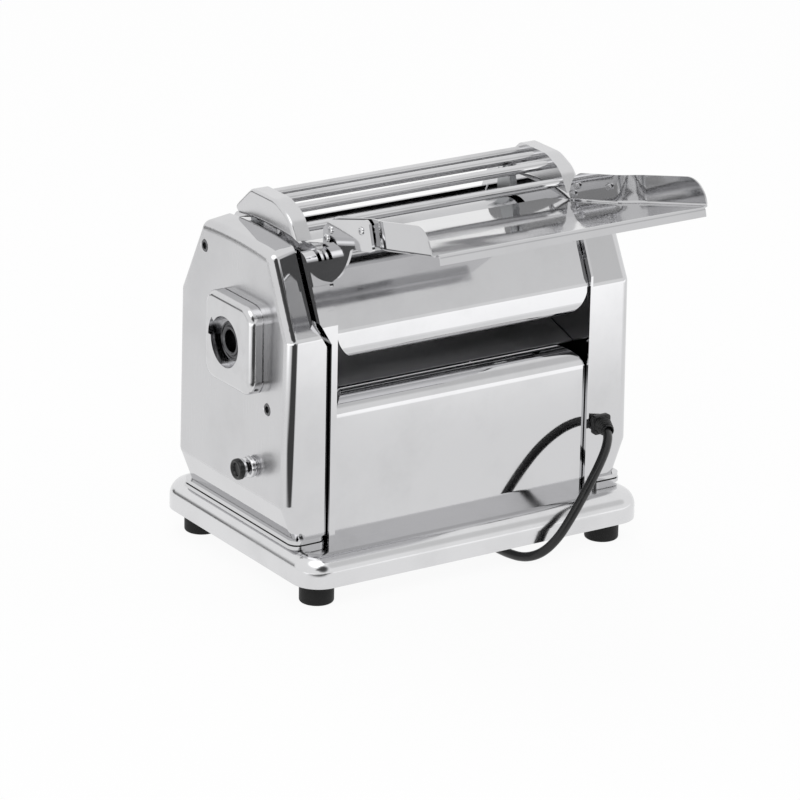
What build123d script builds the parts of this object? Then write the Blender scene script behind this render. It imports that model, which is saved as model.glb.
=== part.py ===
"""Electric pasta maker: two end housings on a pressed base, a pair of rollers driven by a geared
motor between them, a barred guard, a feed tray, and a mains cord.

X runs along the rollers, -Y is the front, +Z is up, and z = 0 is the surface it stands on.
Heights are above that surface. Depths are given from the middle of the body, BODY_Y.
"""

from build123d import *
import math
import os

os.makedirs("parts", exist_ok=True)

# ---------------------------------------------------------------- driving dimensions, in mm

BODY_Y = 54.0  # the tray reaches further forward than the base reaches back
SHEET = 1.6  # cover and base sheet
THIN = 1.2  # apron, panel and slide sheet
GAP = 0.4  # clearance between bodies that move past each other

BASE_X, BASE_Y = 147.7, 106.0  # half width and half depth of the base
BASE_LOW, BASE_TOP = 18.1, 40.5
BASE_CORNER, BASE_ROLL = 21.0, 13.0
FLOOR_PLATE = 2.0

FOOT_X, FOOT_Y, FOOT_R = 125.4, 81.4, 12.8
FOOT_HOLE_R, FOOT_SCREW_R, FOOT_HEAD_R, FOOT_WELL_R, FOOT_WELL = 2.6, 2.5, 4.6, 6.0, 6.0

COVER_X = 150.0  # outer face of each end housing
COVER_DEPTH, COVER_KNEE = 76.6, 198.1
COVER_LOW, BEVEL_TOP, BEVEL_IN = 47.1, 72.4, 9.8
SHOULDER_Y, SHOULDER_Z = 48.1, 254.5
SHOULDER_RISE, CROWN = 4.0, 2.4  # the roof climbs inwards and is slightly domed
COVER_DRAFT = 2.5  # the side face leans in towards the roof
ROOF_IN = 126.0  # inner edge of the roof
WRAP_IN = 111.8  # inner edge of the front and back walls
NOTCH_IN = 115.6  # inner edge of the left housing's front wall
EDGE_ROUND, KNEE_ROUND, ROOF_ROUND = 7.5, 8.0, 8.0
NOTCH_LOW, NOTCH_HIGH, NOTCH_ROUND = COVER_KNEE - 9.0, COVER_KNEE + 9.0, 6.0

FRAME_IN = 109.5  # inner face of each side frame
FRAME_OUT = 114.5
HEAD_OUT = 124.0
LIP = 2.0
FRAME_DEPTH, FRAME_KNEE = 80.0, 207.0
FRAME_INSET = 6.5
HEAD_Y, HEAD_Z, HEAD_CROWN, HEAD_ROUND = 58.5, 254.5, 5.5, 10.0
PAD_LOW = 150.0

ROLLER_R, ROLLER_HALF = 22.5, 106.0
ROLLER_Z = 218.0
REST_GAP, GAP_TRAVEL = 0.5, 4.0  # between the rollers, closed and added when open
FRONT_Y = -(ROLLER_R + REST_GAP / 2)
REAR_Y = -FRONT_Y
JOURNAL_R, BUSH_R, RUNNING = 9.0, 13.0, 0.05

PRESSURE_ANGLE = 20.0
BACKLASH = 0.30
ROLLER_GEAR = (2.0, 24)  # module and teeth
DRIVE_PINION = (2.0, 12)
DRIVE_GEAR = (1.5, 60)
MOTOR_PINION = (1.5, 12)
SYNC_GEAR = (2.5, 18)
DRIVE_Y = -13.25
DRIVE_DISTANCE = ROLLER_GEAR[0] * (ROLLER_GEAR[1] + DRIVE_PINION[1]) / 2
DRIVE_Z = ROLLER_Z - math.sqrt(DRIVE_DISTANCE**2 - (DRIVE_Y - FRONT_Y) ** 2)
MOTOR_DISTANCE = DRIVE_GEAR[0] * (DRIVE_GEAR[1] + MOTOR_PINION[1]) / 2
OUTPUT_Y = 15.0
OUTPUT_Z = DRIVE_Z - math.sqrt(MOTOR_DISTANCE**2 - (OUTPUT_Y - DRIVE_Y) ** 2)
DRIVE_R, OUTPUT_R = 7.0, 4.0

TAIL_LOW, TAIL_HIGH, TAIL_FOOT = 24.0, 34.0, 179.0  # the foot of each sliding block
CAM_MAX, CAM_SWEEP, CAM_ROOM = 10.0, 270.0, 0.45
CAM_Y, CAM_Z = TAIL_HIGH + CAM_MAX + CAM_ROOM, 190.0  # thickness adjuster axis
ADJUSTER_R = 4.0
KNOB_R, KNOB_FACE = 22.0, 165.0

GUARD_IN, GUARD_OUT = 110.4, 124.0
GUARD_TOP = 284.3
PIVOT_Y, PIVOT_Z, PIVOT_R = 35.5, 264.6, 4.6
BAR_R = 3.5
POST_X, POST_Y, POST_LOW, POST_TOP, POST_R = 117.0, -12.0, 248.0, 262.7, 2.0
BARS = ((17.0, 277.6), (-1.0, 278.6), (-19.0, 276.6), (-33.8, 266.9))

TRAY_SLOPE = math.degrees(math.atan(0.235))
TRAY_FRONT_Y, TRAY_FRONT_Z = -209.6, 295.4
TRAY_REAR_Y = -27.0
TRAY_WALL = 21.5
TRAY_NARROW, TRAY_WIDE = 105.0, 117.0
ARM_IN, ARM_OUT = 106.3, 108.5

SOCKET_R = 19.0
BOSS_FACE = 163.5
BOSS_Y, BOSS_Z, BOSS_W, BOSS_H = -16.5, 183.6, 64.0, 67.0

CORD_R = 3.5
COIL_X, COIL_Y, COIL_R = 22.0, 172.0, 40.0
PLUG_R = 19.0


# ---------------------------------------------------------------- planes and small helpers


def side_plane(x):
    """A plane across the rollers: local x is depth, local y is height."""
    return Plane(origin=(x, BODY_Y, 0), x_dir=(0, 1, 0), z_dir=(1, 0, 0))


def front_plane(y):
    """An upright plane that faces the front: local x is X, local y is height."""
    return Plane(origin=(0, BODY_Y + y, 0), x_dir=(1, 0, 0), z_dir=(0, -1, 0))


def floor_plane(z):
    """A level plane over the middle of the body."""
    return Plane(origin=(0, BODY_Y, z))


def save(piece, label):
    """Names a finished piece and writes it."""
    piece.part.label = label
    export_step(piece.part, f"parts/{label}.step")


def filled(*points, rounds=()):
    """A closed outline, with some corners rounded: rounds holds (corner number, radius)."""
    with BuildSketch(Plane.XY) as sketch:
        with BuildLine():
            Polyline(*points, close=True)
        make_face()
        for corner, radius in rounds:
            spot = Vector(*points[corner])
            fillet(sketch.vertices().sort_by_distance(spot)[0], radius)
    return sketch.sketch


def ribbon(*points, radius, thickness):
    """Bent sheet seen from its edge."""
    with BuildSketch(Plane.XY) as sketch:
        with BuildLine():
            FilletPolyline(*points, radius=radius)
        trace(line_width=thickness)
    return sketch.sketch


def box_between(low, high):
    """A box from its two corners, in depths from the middle of the body."""
    size = [b - a for a, b in zip(low, high)]
    middle = [(a + b) / 2 for a, b in zip(low, high)]
    with BuildPart() as block:
        with Locations((middle[0], BODY_Y + middle[1], middle[2])):
            Box(*size)
    return block.part


def rod_x(low, high, y, z, radius):
    """A round bar along X."""
    with BuildPart() as rod:
        with BuildSketch(side_plane(low)):
            with Locations((y, z)):
                Circle(radius)
        extrude(amount=high - low)
    return rod.part


def cover_outline(shoulder_y, shoulder_z, inset):
    """The outline of an end housing, seen along the rollers."""
    with BuildSketch(Plane.XY) as sketch:
        with BuildLine():
            Polyline(
                (-shoulder_y, shoulder_z),
                (-COVER_DEPTH, COVER_KNEE),
                (-COVER_DEPTH, COVER_LOW),
                (COVER_DEPTH, COVER_LOW),
                (COVER_DEPTH, COVER_KNEE),
                (shoulder_y, shoulder_z),
            )
            ThreePointArc(
                (-shoulder_y, shoulder_z), (0, shoulder_z + CROWN), (shoulder_y, shoulder_z)
            )
        make_face()
        if inset:
            offset(amount=-inset, kind=Kind.INTERSECTION)
    return sketch.sketch


def frame_outline(depth, knee, head_y, head_z):
    """The outline of a side frame, with its domed head."""
    with BuildSketch(Plane.XY) as sketch:
        with BuildLine():
            Polyline(
                (-head_y, head_z),
                (-depth, knee),
                (-depth, BASE_TOP),
                (depth, BASE_TOP),
                (depth, knee),
                (head_y, head_z),
            )
            ThreePointArc((-head_y, head_z), (0, HEAD_Z + HEAD_CROWN), (head_y, head_z))
        make_face()
        fillet(sketch.vertices().group_by(Axis.Y)[-1], HEAD_ROUND)
    return sketch.sketch


def gear_outline(module, teeth, addendum, turn):
    """A spur gear with involute flanks. turn is the angle of its first tooth."""
    pitch_r = module * teeth / 2
    base_r = pitch_r * math.cos(math.radians(PRESSURE_ANGLE))
    root_r = pitch_r - 1.25 * module
    tip_r = pitch_r + addendum * module
    flank_steps = 5

    def involute(radius):
        angle = math.acos(min(1.0, base_r / radius))
        return math.tan(angle) - angle

    half_tooth = math.pi / 2 / teeth - BACKLASH / 2 / pitch_r
    flank = []
    for step in range(flank_steps + 1):
        radius = root_r - 0.3 + (tip_r - root_r + 0.3) * step / flank_steps
        angle = half_tooth + involute(pitch_r) - involute(max(radius, base_r))
        flank.append((radius * math.cos(angle), radius * math.sin(angle)))
    other = [(x, -y) for x, y in reversed(flank)]
    with BuildSketch(Plane.XY) as tooth:
        with BuildLine():
            Polyline(*other, *flank, close=True)
        make_face()
    with BuildSketch(Plane.XY) as gear:
        Circle(root_r)
        with PolarLocations(0, teeth, start_angle=turn):
            add(tooth.sketch)
    return gear.sketch


def gear_between(low, high, y, z, bore, outline):
    """A gear on the X axis line through (y, z), with its bore."""
    with BuildPart() as gear:
        with BuildSketch(side_plane(low)):
            with Locations((y, z)):
                add(outline)
                Circle(bore, mode=Mode.SUBTRACT)
        extrude(amount=high - low)
    return gear.part


# ---------------------------------------------------------------- base, feet and sole plates

with BuildPart() as base_tray:
    with BuildSketch(floor_plane(BASE_LOW)):
        RectangleRounded(2 * BASE_X, 2 * BASE_Y, BASE_CORNER)
    extrude(amount=BASE_TOP - BASE_LOW)
    fillet(base_tray.faces().sort_by(Axis.Z)[-1].edges(), BASE_ROLL)
    offset(amount=-SHEET, openings=base_tray.faces().sort_by(Axis.Z)[0])
save(base_tray, "base_tray")

with BuildPart() as base_floor_plate:
    with BuildSketch(floor_plane(BASE_LOW)):
        RectangleRounded(2 * (BASE_X - SHEET), 2 * (BASE_Y - SHEET), BASE_CORNER - SHEET)
        with GridLocations(2 * FOOT_X, 2 * FOOT_Y, 2, 2):
            Circle(FOOT_HOLE_R, mode=Mode.SUBTRACT)
    extrude(amount=FLOOR_PLATE)
save(base_floor_plate, "base_floor_plate")

with BuildPart() as feet:
    with BuildSketch(floor_plane(0)):
        with GridLocations(2 * FOOT_X, 2 * FOOT_Y, 2, 2):
            Circle(FOOT_R)
    extrude(amount=BASE_LOW)
    fillet(feet.edges().group_by(Axis.Z)[0], 1.6)
    with BuildSketch(floor_plane(0)):
        with GridLocations(2 * FOOT_X, 2 * FOOT_Y, 2, 2):
            Circle(FOOT_WELL_R)
    extrude(amount=FOOT_WELL, mode=Mode.SUBTRACT)
    with BuildSketch(floor_plane(0)):
        with GridLocations(2 * FOOT_X, 2 * FOOT_Y, 2, 2):
            Circle(FOOT_HOLE_R)
    extrude(amount=BASE_LOW, mode=Mode.SUBTRACT)
save(feet, "feet")

FOOT_HEAD, FOOT_THREAD = 2.8, 5.9

with BuildPart() as foot_screws:
    with BuildSketch(floor_plane(FOOT_WELL)):
        with GridLocations(2 * FOOT_X, 2 * FOOT_Y, 2, 2):
            Circle(FOOT_HEAD_R)
    extrude(amount=-FOOT_HEAD)
    with BuildSketch(floor_plane(FOOT_WELL)):
        with GridLocations(2 * FOOT_X, 2 * FOOT_Y, 2, 2):
            Circle(FOOT_SCREW_R)
    extrude(amount=BASE_LOW + FLOOR_PLATE + FOOT_THREAD - FOOT_WELL)
save(foot_screws, "foot_screws")

SEAL_INSET, SOLE_STEP, SOLE_CORNER = 1.0, 0.4, 8.0
SOLE_LEVELS = (BASE_TOP, 43.2, 44.2, COVER_LOW)
SOLE_IN, SOLE_OUT, SOLE_DEPTH = 115.0, 144.5, 79.5


def sole_layer(side, low, high, inset):
    """One layer of the stack between the base and an end housing."""
    width = SOLE_OUT - SOLE_IN - 2 * inset
    with BuildPart() as layer:
        with BuildSketch(floor_plane(low)):
            with Locations((side * (SOLE_IN + SOLE_OUT) / 2, 0)):
                RectangleRounded(width, 2 * (SOLE_DEPTH - inset), SOLE_CORNER)
        extrude(amount=high - low)
    return layer.part


for side, name in ((-1, "left"), (1, "right")):
    with BuildPart() as sole_plates:
        add(sole_layer(side, SOLE_LEVELS[0], SOLE_LEVELS[1], 0))
        add(sole_layer(side, SOLE_LEVELS[2], SOLE_LEVELS[3], SOLE_STEP))
    save(sole_plates, f"{name}_sole_plates")

with BuildPart() as sole_seals:
    for side in (-1, 1):
        add(sole_layer(side, SOLE_LEVELS[1], SOLE_LEVELS[2], SEAL_INSET))
save(sole_seals, "sole_seals")

# ---------------------------------------------------------------- side frames

OUTER_FRAME = frame_outline(FRAME_DEPTH, FRAME_KNEE, HEAD_Y, HEAD_Z)
INNER_FRAME = frame_outline(FRAME_DEPTH - FRAME_INSET, COVER_KNEE - 2.0, HEAD_Y - 13.0, HEAD_Z)
SLOT_LOW, SLOT_HIGH = REAR_Y - BUSH_R - GAP, REAR_Y + BUSH_R + GAP_TRAVEL + GAP
BLOCK_HALF = 12.0
CAM_SPACE, OUTPUT_SPACE = 1.0, 3.0  # room round the cams and the motor's output shaft
BUSH_WALL, BUSH_FLANGE, BUSH_COVER = 4.0, 3.0, 2.5


def frame_openings(side):
    """Cutters for a side frame's bushes, shafts and the rear roller's sliding block."""
    low = min(side * FRAME_IN, side * HEAD_OUT) - 1.0
    high = max(side * FRAME_IN, side * HEAD_OUT) + 1.0
    with BuildPart() as cutter:
        add(rod_x(low, high, FRONT_Y, ROLLER_Z, BUSH_R))
        with BuildSketch(floor_plane(POST_LOW)):
            with Locations((side * POST_X, POST_Y)):
                Circle(POST_R)
        extrude(amount=HEAD_Z + 2 * HEAD_CROWN - POST_LOW)
        add(rod_x(low, high, CAM_Y, CAM_Z, CAM_MAX + CAM_SPACE))
        add(
            box_between(
                (low, SLOT_LOW, ROLLER_Z - BLOCK_HALF - GAP),
                (high, SLOT_HIGH, ROLLER_Z + BLOCK_HALF + GAP),
            )
        )
        add(
            box_between(
                (low, TAIL_LOW - GAP, TAIL_FOOT - GAP), (high, CAM_Y, ROLLER_Z - BLOCK_HALF)
            )
        )
        if side < 0:
            add(rod_x(low, high, DRIVE_Y, DRIVE_Z, DRIVE_R + BUSH_WALL))
            add(rod_x(low, high, OUTPUT_Y, OUTPUT_Z, OUTPUT_R + OUTPUT_SPACE))
    return cutter.part


FRONT_ZONE = filled(
    (-90, 192.0), (-90, 262.0), (-46, 262.0), (-46, 250.0), (-66.0, 206.0), (-66.0, 180.0)
)

with BuildPart() as left_frame:
    with BuildSketch(side_plane(-FRAME_IN)):
        add(OUTER_FRAME)
    extrude(amount=-LIP)
    with BuildSketch(side_plane(-FRAME_IN - LIP)):
        add(INNER_FRAME)
    extrude(amount=-(FRAME_OUT - FRAME_IN - LIP))
    with BuildSketch(side_plane(-FRAME_OUT)):
        add(INNER_FRAME)
        with Locations((0, PAD_LOW / 2)):
            Rectangle(200, PAD_LOW, mode=Mode.SUBTRACT)
    extrude(amount=-(HEAD_OUT - FRAME_OUT))
    with BuildSketch(side_plane(-FRAME_IN - LIP)):
        add(OUTER_FRAME)
        with Locations((-80, 150)):
            Rectangle(28, 260, mode=Mode.INTERSECT)
    extrude(amount=-(FRAME_OUT - FRAME_IN - LIP))
    with BuildSketch(side_plane(-FRAME_OUT)):
        add(OUTER_FRAME)
        add(FRONT_ZONE, mode=Mode.INTERSECT)
    extrude(amount=-(HEAD_OUT - FRAME_OUT))
    with BuildSketch(front_plane(-FRAME_DEPTH - 1.0)):
        add(
            filled(
                (-HEAD_OUT - 1.0, NOTCH_HIGH + 4.0),
                (-HEAD_OUT - 1.0, NOTCH_LOW - 15.0),
                (-FRAME_OUT, NOTCH_LOW - 15.0),
                (-FRAME_OUT, NOTCH_LOW + 4.0),
            )
        )
    extrude(amount=-13.0, mode=Mode.SUBTRACT)
    add(frame_openings(-1), mode=Mode.SUBTRACT)
save(left_frame, "left_frame")

with BuildPart() as right_frame:
    with BuildSketch(side_plane(FRAME_IN)):
        add(OUTER_FRAME)
    extrude(amount=LIP)
    with BuildSketch(side_plane(FRAME_IN + LIP)):
        add(INNER_FRAME)
    extrude(amount=FRAME_OUT - FRAME_IN - LIP)
    with BuildSketch(side_plane(FRAME_OUT)):
        add(INNER_FRAME)
        with Locations((0, PAD_LOW / 2)):
            Rectangle(200, PAD_LOW, mode=Mode.SUBTRACT)
    extrude(amount=HEAD_OUT - FRAME_OUT)
    add(frame_openings(1), mode=Mode.SUBTRACT)
save(right_frame, "right_frame")

TIE_SPOTS, TIE_R = ((-60.0, 62.0), (62.0, 62.0), (66.0, 165.0)), 6.0

with BuildPart() as tie_rods:
    for y, z in TIE_SPOTS:
        add(rod_x(-FRAME_IN, FRAME_IN, y, z, TIE_R))
save(tie_rods, "tie_rods")

with BuildPart() as frame_bushes:
    for low, high, y, z, bore, outer in (
        (-HEAD_OUT, -FRAME_IN, FRONT_Y, ROLLER_Z, JOURNAL_R, BUSH_R),
        (FRAME_IN, HEAD_OUT, FRONT_Y, ROLLER_Z, JOURNAL_R, BUSH_R),
        (-HEAD_OUT, -FRAME_IN, DRIVE_Y, DRIVE_Z, DRIVE_R, DRIVE_R + BUSH_WALL),
        (-HEAD_OUT - BUSH_FLANGE, -HEAD_OUT, CAM_Y, CAM_Z, ADJUSTER_R, CAM_MAX + BUSH_COVER),
        (HEAD_OUT, HEAD_OUT + BUSH_FLANGE, CAM_Y, CAM_Z, ADJUSTER_R, CAM_MAX + BUSH_COVER),
    ):
        with BuildSketch(side_plane(low)):
            with Locations((y, z)):
                Circle(outer)
                Circle(bore + RUNNING, mode=Mode.SUBTRACT)
        extrude(amount=high - low)
save(frame_bushes, "frame_bushes")

# ---------------------------------------------------------------- end housings


def cover_block(side, inset, reach):
    """An end housing as a solid block, shrunk by inset, that reaches in to x = reach."""
    run = (COVER_DEPTH - SHOULDER_Y) / (SHOULDER_Z - COVER_KNEE)
    outer = cover_outline(SHOULDER_Y, SHOULDER_Z, inset)
    inner = cover_outline(SHOULDER_Y - SHOULDER_RISE * run, SHOULDER_Z + SHOULDER_RISE, inset)
    edge = (side * COVER_X, BODY_Y, BEVEL_TOP)
    bevel_normal = (side * (BEVEL_TOP - COVER_LOW), 0, -BEVEL_IN)
    draft_normal = (side * (SHOULDER_Z - BEVEL_TOP), 0, COVER_DRAFT)
    with BuildPart() as block:
        with BuildSketch(side_plane(side * COVER_X)):
            add(outer)
        with BuildSketch(side_plane(side * ROOF_IN)):
            add(inner)
        loft(ruled=True)
        for normal in (bevel_normal, draft_normal):
            cut = Plane(origin=edge, x_dir=(0, 1, 0), z_dir=normal).offset(-inset)
            split(bisect_by=cut, keep=Keep.BOTTOM)
        inner_faces = block.faces().filter_by(Axis.X).sort_by(Axis.X)
        extrude(inner_faces[-1 if side < 0 else 0], amount=ROOF_IN - reach)
        for height, radius in ((COVER_KNEE, KNEE_ROUND), (SHOULDER_Z, ROOF_ROUND)):
            across = block.edges().filter_by(lambda e: abs((e @ 1 - e @ 0).X) > 5.0)
            near = across.filter_by(lambda e: abs(e.center().Z - height) < SHOULDER_RISE + 1.0)
            fillet(near, radius - inset)
        ends = block.faces().filter_by(lambda f: abs(f.normal_at().X) > 0.85)
        ends = ends.filter_by(lambda f: side * f.center().X > COVER_X - BEVEL_IN)
        low = COVER_LOW + inset + 1.0
        rim = {hash(e): e for face in ends for e in face.edges() if e.center().Z > low}
        fillet(list(rim.values()), EDGE_ROUND - inset)
    return block.part


def cover_shell(side):
    """A pressed end housing, open towards the rollers and around the frame's head."""
    roof_cut = filled((-51.0, 240.0), (-51.0, 300.0), (51.0, 300.0), (51.0, 240.0))
    with BuildPart() as shell:
        add(cover_block(side, 0, WRAP_IN))
        add(cover_block(side, SHEET, WRAP_IN - 10.0), mode=Mode.SUBTRACT)
        with BuildSketch(side_plane(side * ROOF_IN)):
            add(roof_cut)
        extrude(amount=-side * 40.0, mode=Mode.SUBTRACT)
        low, high = sorted((side * 100.0, side * (COVER_X - BEVEL_IN - SHEET)))
        depth = COVER_DEPTH - SHEET
        bottom = box_between((low, -depth, COVER_LOW - 1.0), (high, depth, COVER_LOW + 3.0))
        add(bottom, mode=Mode.SUBTRACT)
    return shell.part


def cover_plane(side, y, z, lift=0.0):
    """A plane on an end housing's leaning side face, facing outwards."""
    drop = (z - BEVEL_TOP) * COVER_DRAFT / (SHOULDER_Z - BEVEL_TOP)
    normal = Vector(side * (SHOULDER_Z - BEVEL_TOP), 0, COVER_DRAFT).normalized()
    spot = Vector(side * (COVER_X - drop), BODY_Y + y, z) + normal * lift
    return Plane(origin=spot, x_dir=(0, 1, 0), z_dir=normal)


def dished_hole(side, y, z):
    """The cutter for a dished screw hole in an end housing's side face."""
    with BuildPart() as cutter:
        with BuildSketch(cover_plane(side, y, z, 0.5)):
            Circle(DISH_R + 0.5)
        with BuildSketch(cover_plane(side, y, z, -SHEET)):
            Circle(SCREW_HOLE)
        loft()
        with BuildSketch(cover_plane(side, y, z, -SHEET - 1.0)):
            Circle(SCREW_HOLE)
        extrude(amount=3.0)
    return cutter.part


SCREW_HOLE, DISH_R, SCREW_CORE, SCREW_SINK = 3.0, 5.5, 2.0, 0.3
LEFT_SCREWS = ((42.1, 237.8), (-48.6, 140.2))
RIGHT_SCREWS = ((-52.0, 225.0), (-48.6, 140.2), (48.6, 140.2))
RESET_Y, RESET_Z, RESET_R, RESET_NECK = -32.0, 92.0, 8.0, 5.8
SWITCH_Y, SWITCH_Z, SWITCH_W, SWITCH_H = -30.0, 118.0, 17.0, 24.6
GLAND_X, GLAND_Z, GLAND_STEM, GLAND_SIDE = 125.0, 88.3, 6.0, 14.6
HUB_R = 11.0

with BuildPart() as left_end_cover:
    add(cover_shell(-1))
    with BuildSketch(front_plane(-COVER_DEPTH - 1.0)):
        add(
            filled(
                (-ROOF_IN, 300.0),
                (-ROOF_IN, NOTCH_HIGH),
                (-NOTCH_IN, NOTCH_LOW),
                (-NOTCH_IN, 30.0),
                (-100.0, 30.0),
                (-100.0, 300.0),
                rounds=((1, NOTCH_ROUND), (2, NOTCH_ROUND)),
            )
        )
    extrude(amount=-40.0, mode=Mode.SUBTRACT)
    for y, z, radius in (
        (DRIVE_Y, DRIVE_Z, HUB_R + 1.5),
        (RESET_Y, RESET_Z, RESET_NECK + 0.1),
    ):
        add(rod_x(-160.0, -140.0, y, z, radius), mode=Mode.SUBTRACT)
    for y, z in LEFT_SCREWS:
        add(dished_hole(-1, y, z), mode=Mode.SUBTRACT)
save(left_end_cover, "left_end_cover")

with BuildPart() as right_end_cover:
    add(cover_shell(1))
    add(rod_x(140.0, 160.0, CAM_Y, CAM_Z, ADJUSTER_R + 2.0), mode=Mode.SUBTRACT)
    with BuildSketch(cover_plane(1, SWITCH_Y, SWITCH_Z, 1.0)):
        Rectangle(SWITCH_W, SWITCH_H)
    extrude(amount=-6.0, mode=Mode.SUBTRACT)
    with BuildSketch(front_plane(-COVER_DEPTH - 1.0)):
        with Locations((GLAND_X, GLAND_Z)):
            Circle(GLAND_STEM + 0.1)
    extrude(amount=-5.0, mode=Mode.SUBTRACT)
    for y, z in RIGHT_SCREWS:
        add(dished_hole(1, y, z), mode=Mode.SUBTRACT)
save(right_end_cover, "right_end_cover")

with BuildPart() as cover_screws:
    for side, spots in ((-1, LEFT_SCREWS), (1, RIGHT_SCREWS)):
        for y, z in spots:
            seat = FRAME_OUT if z < PAD_LOW else HEAD_OUT
            add(rod_x(*sorted((side * (COVER_X - 3.5), side * seat)), y, z, SCREW_CORE))
            with BuildSketch(cover_plane(side, y, z, -SHEET)):
                Circle(SCREW_HOLE - 0.2)
            with BuildSketch(cover_plane(side, y, z, -SCREW_SINK)):
                Circle(DISH_R - 0.9)
            loft()
            with BuildSketch(cover_plane(side, y, z, -SHEET)):
                Circle(SCREW_HOLE - 0.2)
            extrude(amount=-3.0)
save(cover_screws, "cover_screws")

# ---------------------------------------------------------------- accessory socket and gear train

BOSS_ROUND, BOSS_EDGE = 12.0, 5.0
BOSS_FLOOR = 152.0  # inner end of the socket's bore
GROOVE_X, GROOVE_WIDE, GROOVE_DEEP = 153.2, 1.4, 1.4
NOTCH_R, NOTCH_SWEEP = 22.7, 37.0
COUPLING_FACE, COUPLING_BACK, COUPLING_R = 159.0, 153.0, 14.5
HUB_BACK, DRIVE_BORE_R, DRIVE_BORE_DEPTH = 147.0, 8.25, 10.0
DRIVE_TIP = 108.5

with BuildPart() as socket_boss:
    with BuildSketch(side_plane(-BOSS_FACE)):
        with Locations((BOSS_Y, BOSS_Z)):
            RectangleRounded(BOSS_W, BOSS_H, BOSS_ROUND)
    extrude(amount=BOSS_FACE - 140.0)
    fillet(socket_boss.faces().sort_by(Axis.X)[0].edges(), BOSS_EDGE)
    split(bisect_by=cover_plane(-1, BOSS_Y, BOSS_Z), keep=Keep.TOP)
    with BuildSketch(side_plane(-GROOVE_X)):
        with Locations((BOSS_Y, BOSS_Z)):
            RectangleRounded(BOSS_W + 8.0, BOSS_H + 8.0, BOSS_ROUND + 4.0)
            RectangleRounded(
                BOSS_W - 2 * GROOVE_DEEP,
                BOSS_H - 2 * GROOVE_DEEP,
                BOSS_ROUND - GROOVE_DEEP,
                mode=Mode.SUBTRACT,
            )
    extrude(amount=GROOVE_WIDE, mode=Mode.SUBTRACT)
    with BuildSketch(side_plane(-BOSS_FACE)):
        with Locations((DRIVE_Y, DRIVE_Z)):
            Circle(SOCKET_R)
    extrude(amount=BOSS_FACE - BOSS_FLOOR, mode=Mode.SUBTRACT)
    with BuildSketch(side_plane(-BOSS_FACE)):
        with BuildLine():
            for start in (0.0, 180.0):
                centre = (DRIVE_Y, DRIVE_Z)
                outer = CenterArc(centre, NOTCH_R, start, NOTCH_SWEEP)
                inner = CenterArc(centre, SOCKET_R - 1.0, start, NOTCH_SWEEP)
                Line(outer @ 0, inner @ 0)
                Line(outer @ 1, inner @ 1)
        make_face()
    extrude(amount=BOSS_FACE - BOSS_FLOOR, mode=Mode.SUBTRACT)
    add(rod_x(-160.0, -140.0, DRIVE_Y, DRIVE_Z, HUB_R + 0.6), mode=Mode.SUBTRACT)
save(socket_boss, "socket_boss")

with BuildPart() as drive_shaft:
    add(rod_x(-HUB_BACK, -DRIVE_TIP, DRIVE_Y, DRIVE_Z, DRIVE_R))
    add(rod_x(-COUPLING_BACK, -HUB_BACK, DRIVE_Y, DRIVE_Z, HUB_R))
    add(rod_x(-COUPLING_FACE, -COUPLING_BACK, DRIVE_Y, DRIVE_Z, COUPLING_R))
    chamfer(drive_shaft.faces().sort_by(Axis.X)[0].edges(), 0.8)
    bore_end = -COUPLING_FACE + DRIVE_BORE_DEPTH
    add(
        rod_x(-COUPLING_FACE, bore_end, DRIVE_Y, DRIVE_Z, DRIVE_BORE_R),
        mode=Mode.SUBTRACT,
    )
save(drive_shaft, "drive_shaft")

DRIVE_PINION_X = (-138.5, -128.5)
DRIVE_GEAR_X = (-144.5, -139.5)
ROLLER_GEAR_X = (-138.0, -130.0)
SYNC_X = (128.0, 138.0)
to_drive = math.degrees(math.atan2(DRIVE_Z - ROLLER_Z, DRIVE_Y - FRONT_Y))
to_motor = math.degrees(math.atan2(OUTPUT_Z - DRIVE_Z, OUTPUT_Y - DRIVE_Y))


def meshing_turn(direction, teeth):
    """Where a gear's first tooth stands when it meets another gear's tooth from direction."""
    return direction + 180.0 + 180.0 / teeth


with BuildPart() as drive_pinion:
    turn = meshing_turn(to_drive, DRIVE_PINION[1])
    outline = gear_outline(*DRIVE_PINION, 0.9, turn)
    add(gear_between(*DRIVE_PINION_X, DRIVE_Y, DRIVE_Z, DRIVE_R, outline))
save(drive_pinion, "drive_pinion")

with BuildPart() as drive_gear:
    outline = gear_outline(*DRIVE_GEAR, 0.7, to_motor)
    add(gear_between(*DRIVE_GEAR_X, DRIVE_Y, DRIVE_Z, DRIVE_R, outline))
save(drive_gear, "drive_gear")

GEARBOX_X = (-FRAME_IN, -66.0)
OUTPUT_DEPTH = 20.0

with BuildPart() as motor_pinion:
    turn = meshing_turn(to_motor, MOTOR_PINION[1])
    outline = gear_outline(*MOTOR_PINION, 0.9, turn)
    add(gear_between(-145.0, -139.0, OUTPUT_Y, OUTPUT_Z, 0.5, outline))
    add(rod_x(-145.0, GEARBOX_X[0] + OUTPUT_DEPTH - 1.0, OUTPUT_Y, OUTPUT_Z, OUTPUT_R))
save(motor_pinion, "motor_pinion")

with BuildPart() as roller_drive_gear:
    outline = gear_outline(*ROLLER_GEAR, 0.8, to_drive)
    add(gear_between(*ROLLER_GEAR_X, FRONT_Y, ROLLER_Z, JOURNAL_R, outline))
save(roller_drive_gear, "roller_drive_gear")

with BuildPart() as front_sync_gear:
    outline = gear_outline(*SYNC_GEAR, 1.15, 0.0)
    add(gear_between(*SYNC_X, FRONT_Y, ROLLER_Z, JOURNAL_R, outline))
save(front_sync_gear, "front_sync_gear")

with BuildPart() as rear_sync_gear:
    outline = gear_outline(*SYNC_GEAR, 1.15, meshing_turn(0.0, SYNC_GEAR[1]))
    add(gear_between(*SYNC_X, REAR_Y, ROLLER_Z, JOURNAL_R, outline))
save(rear_sync_gear, "rear_sync_gear")

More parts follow.
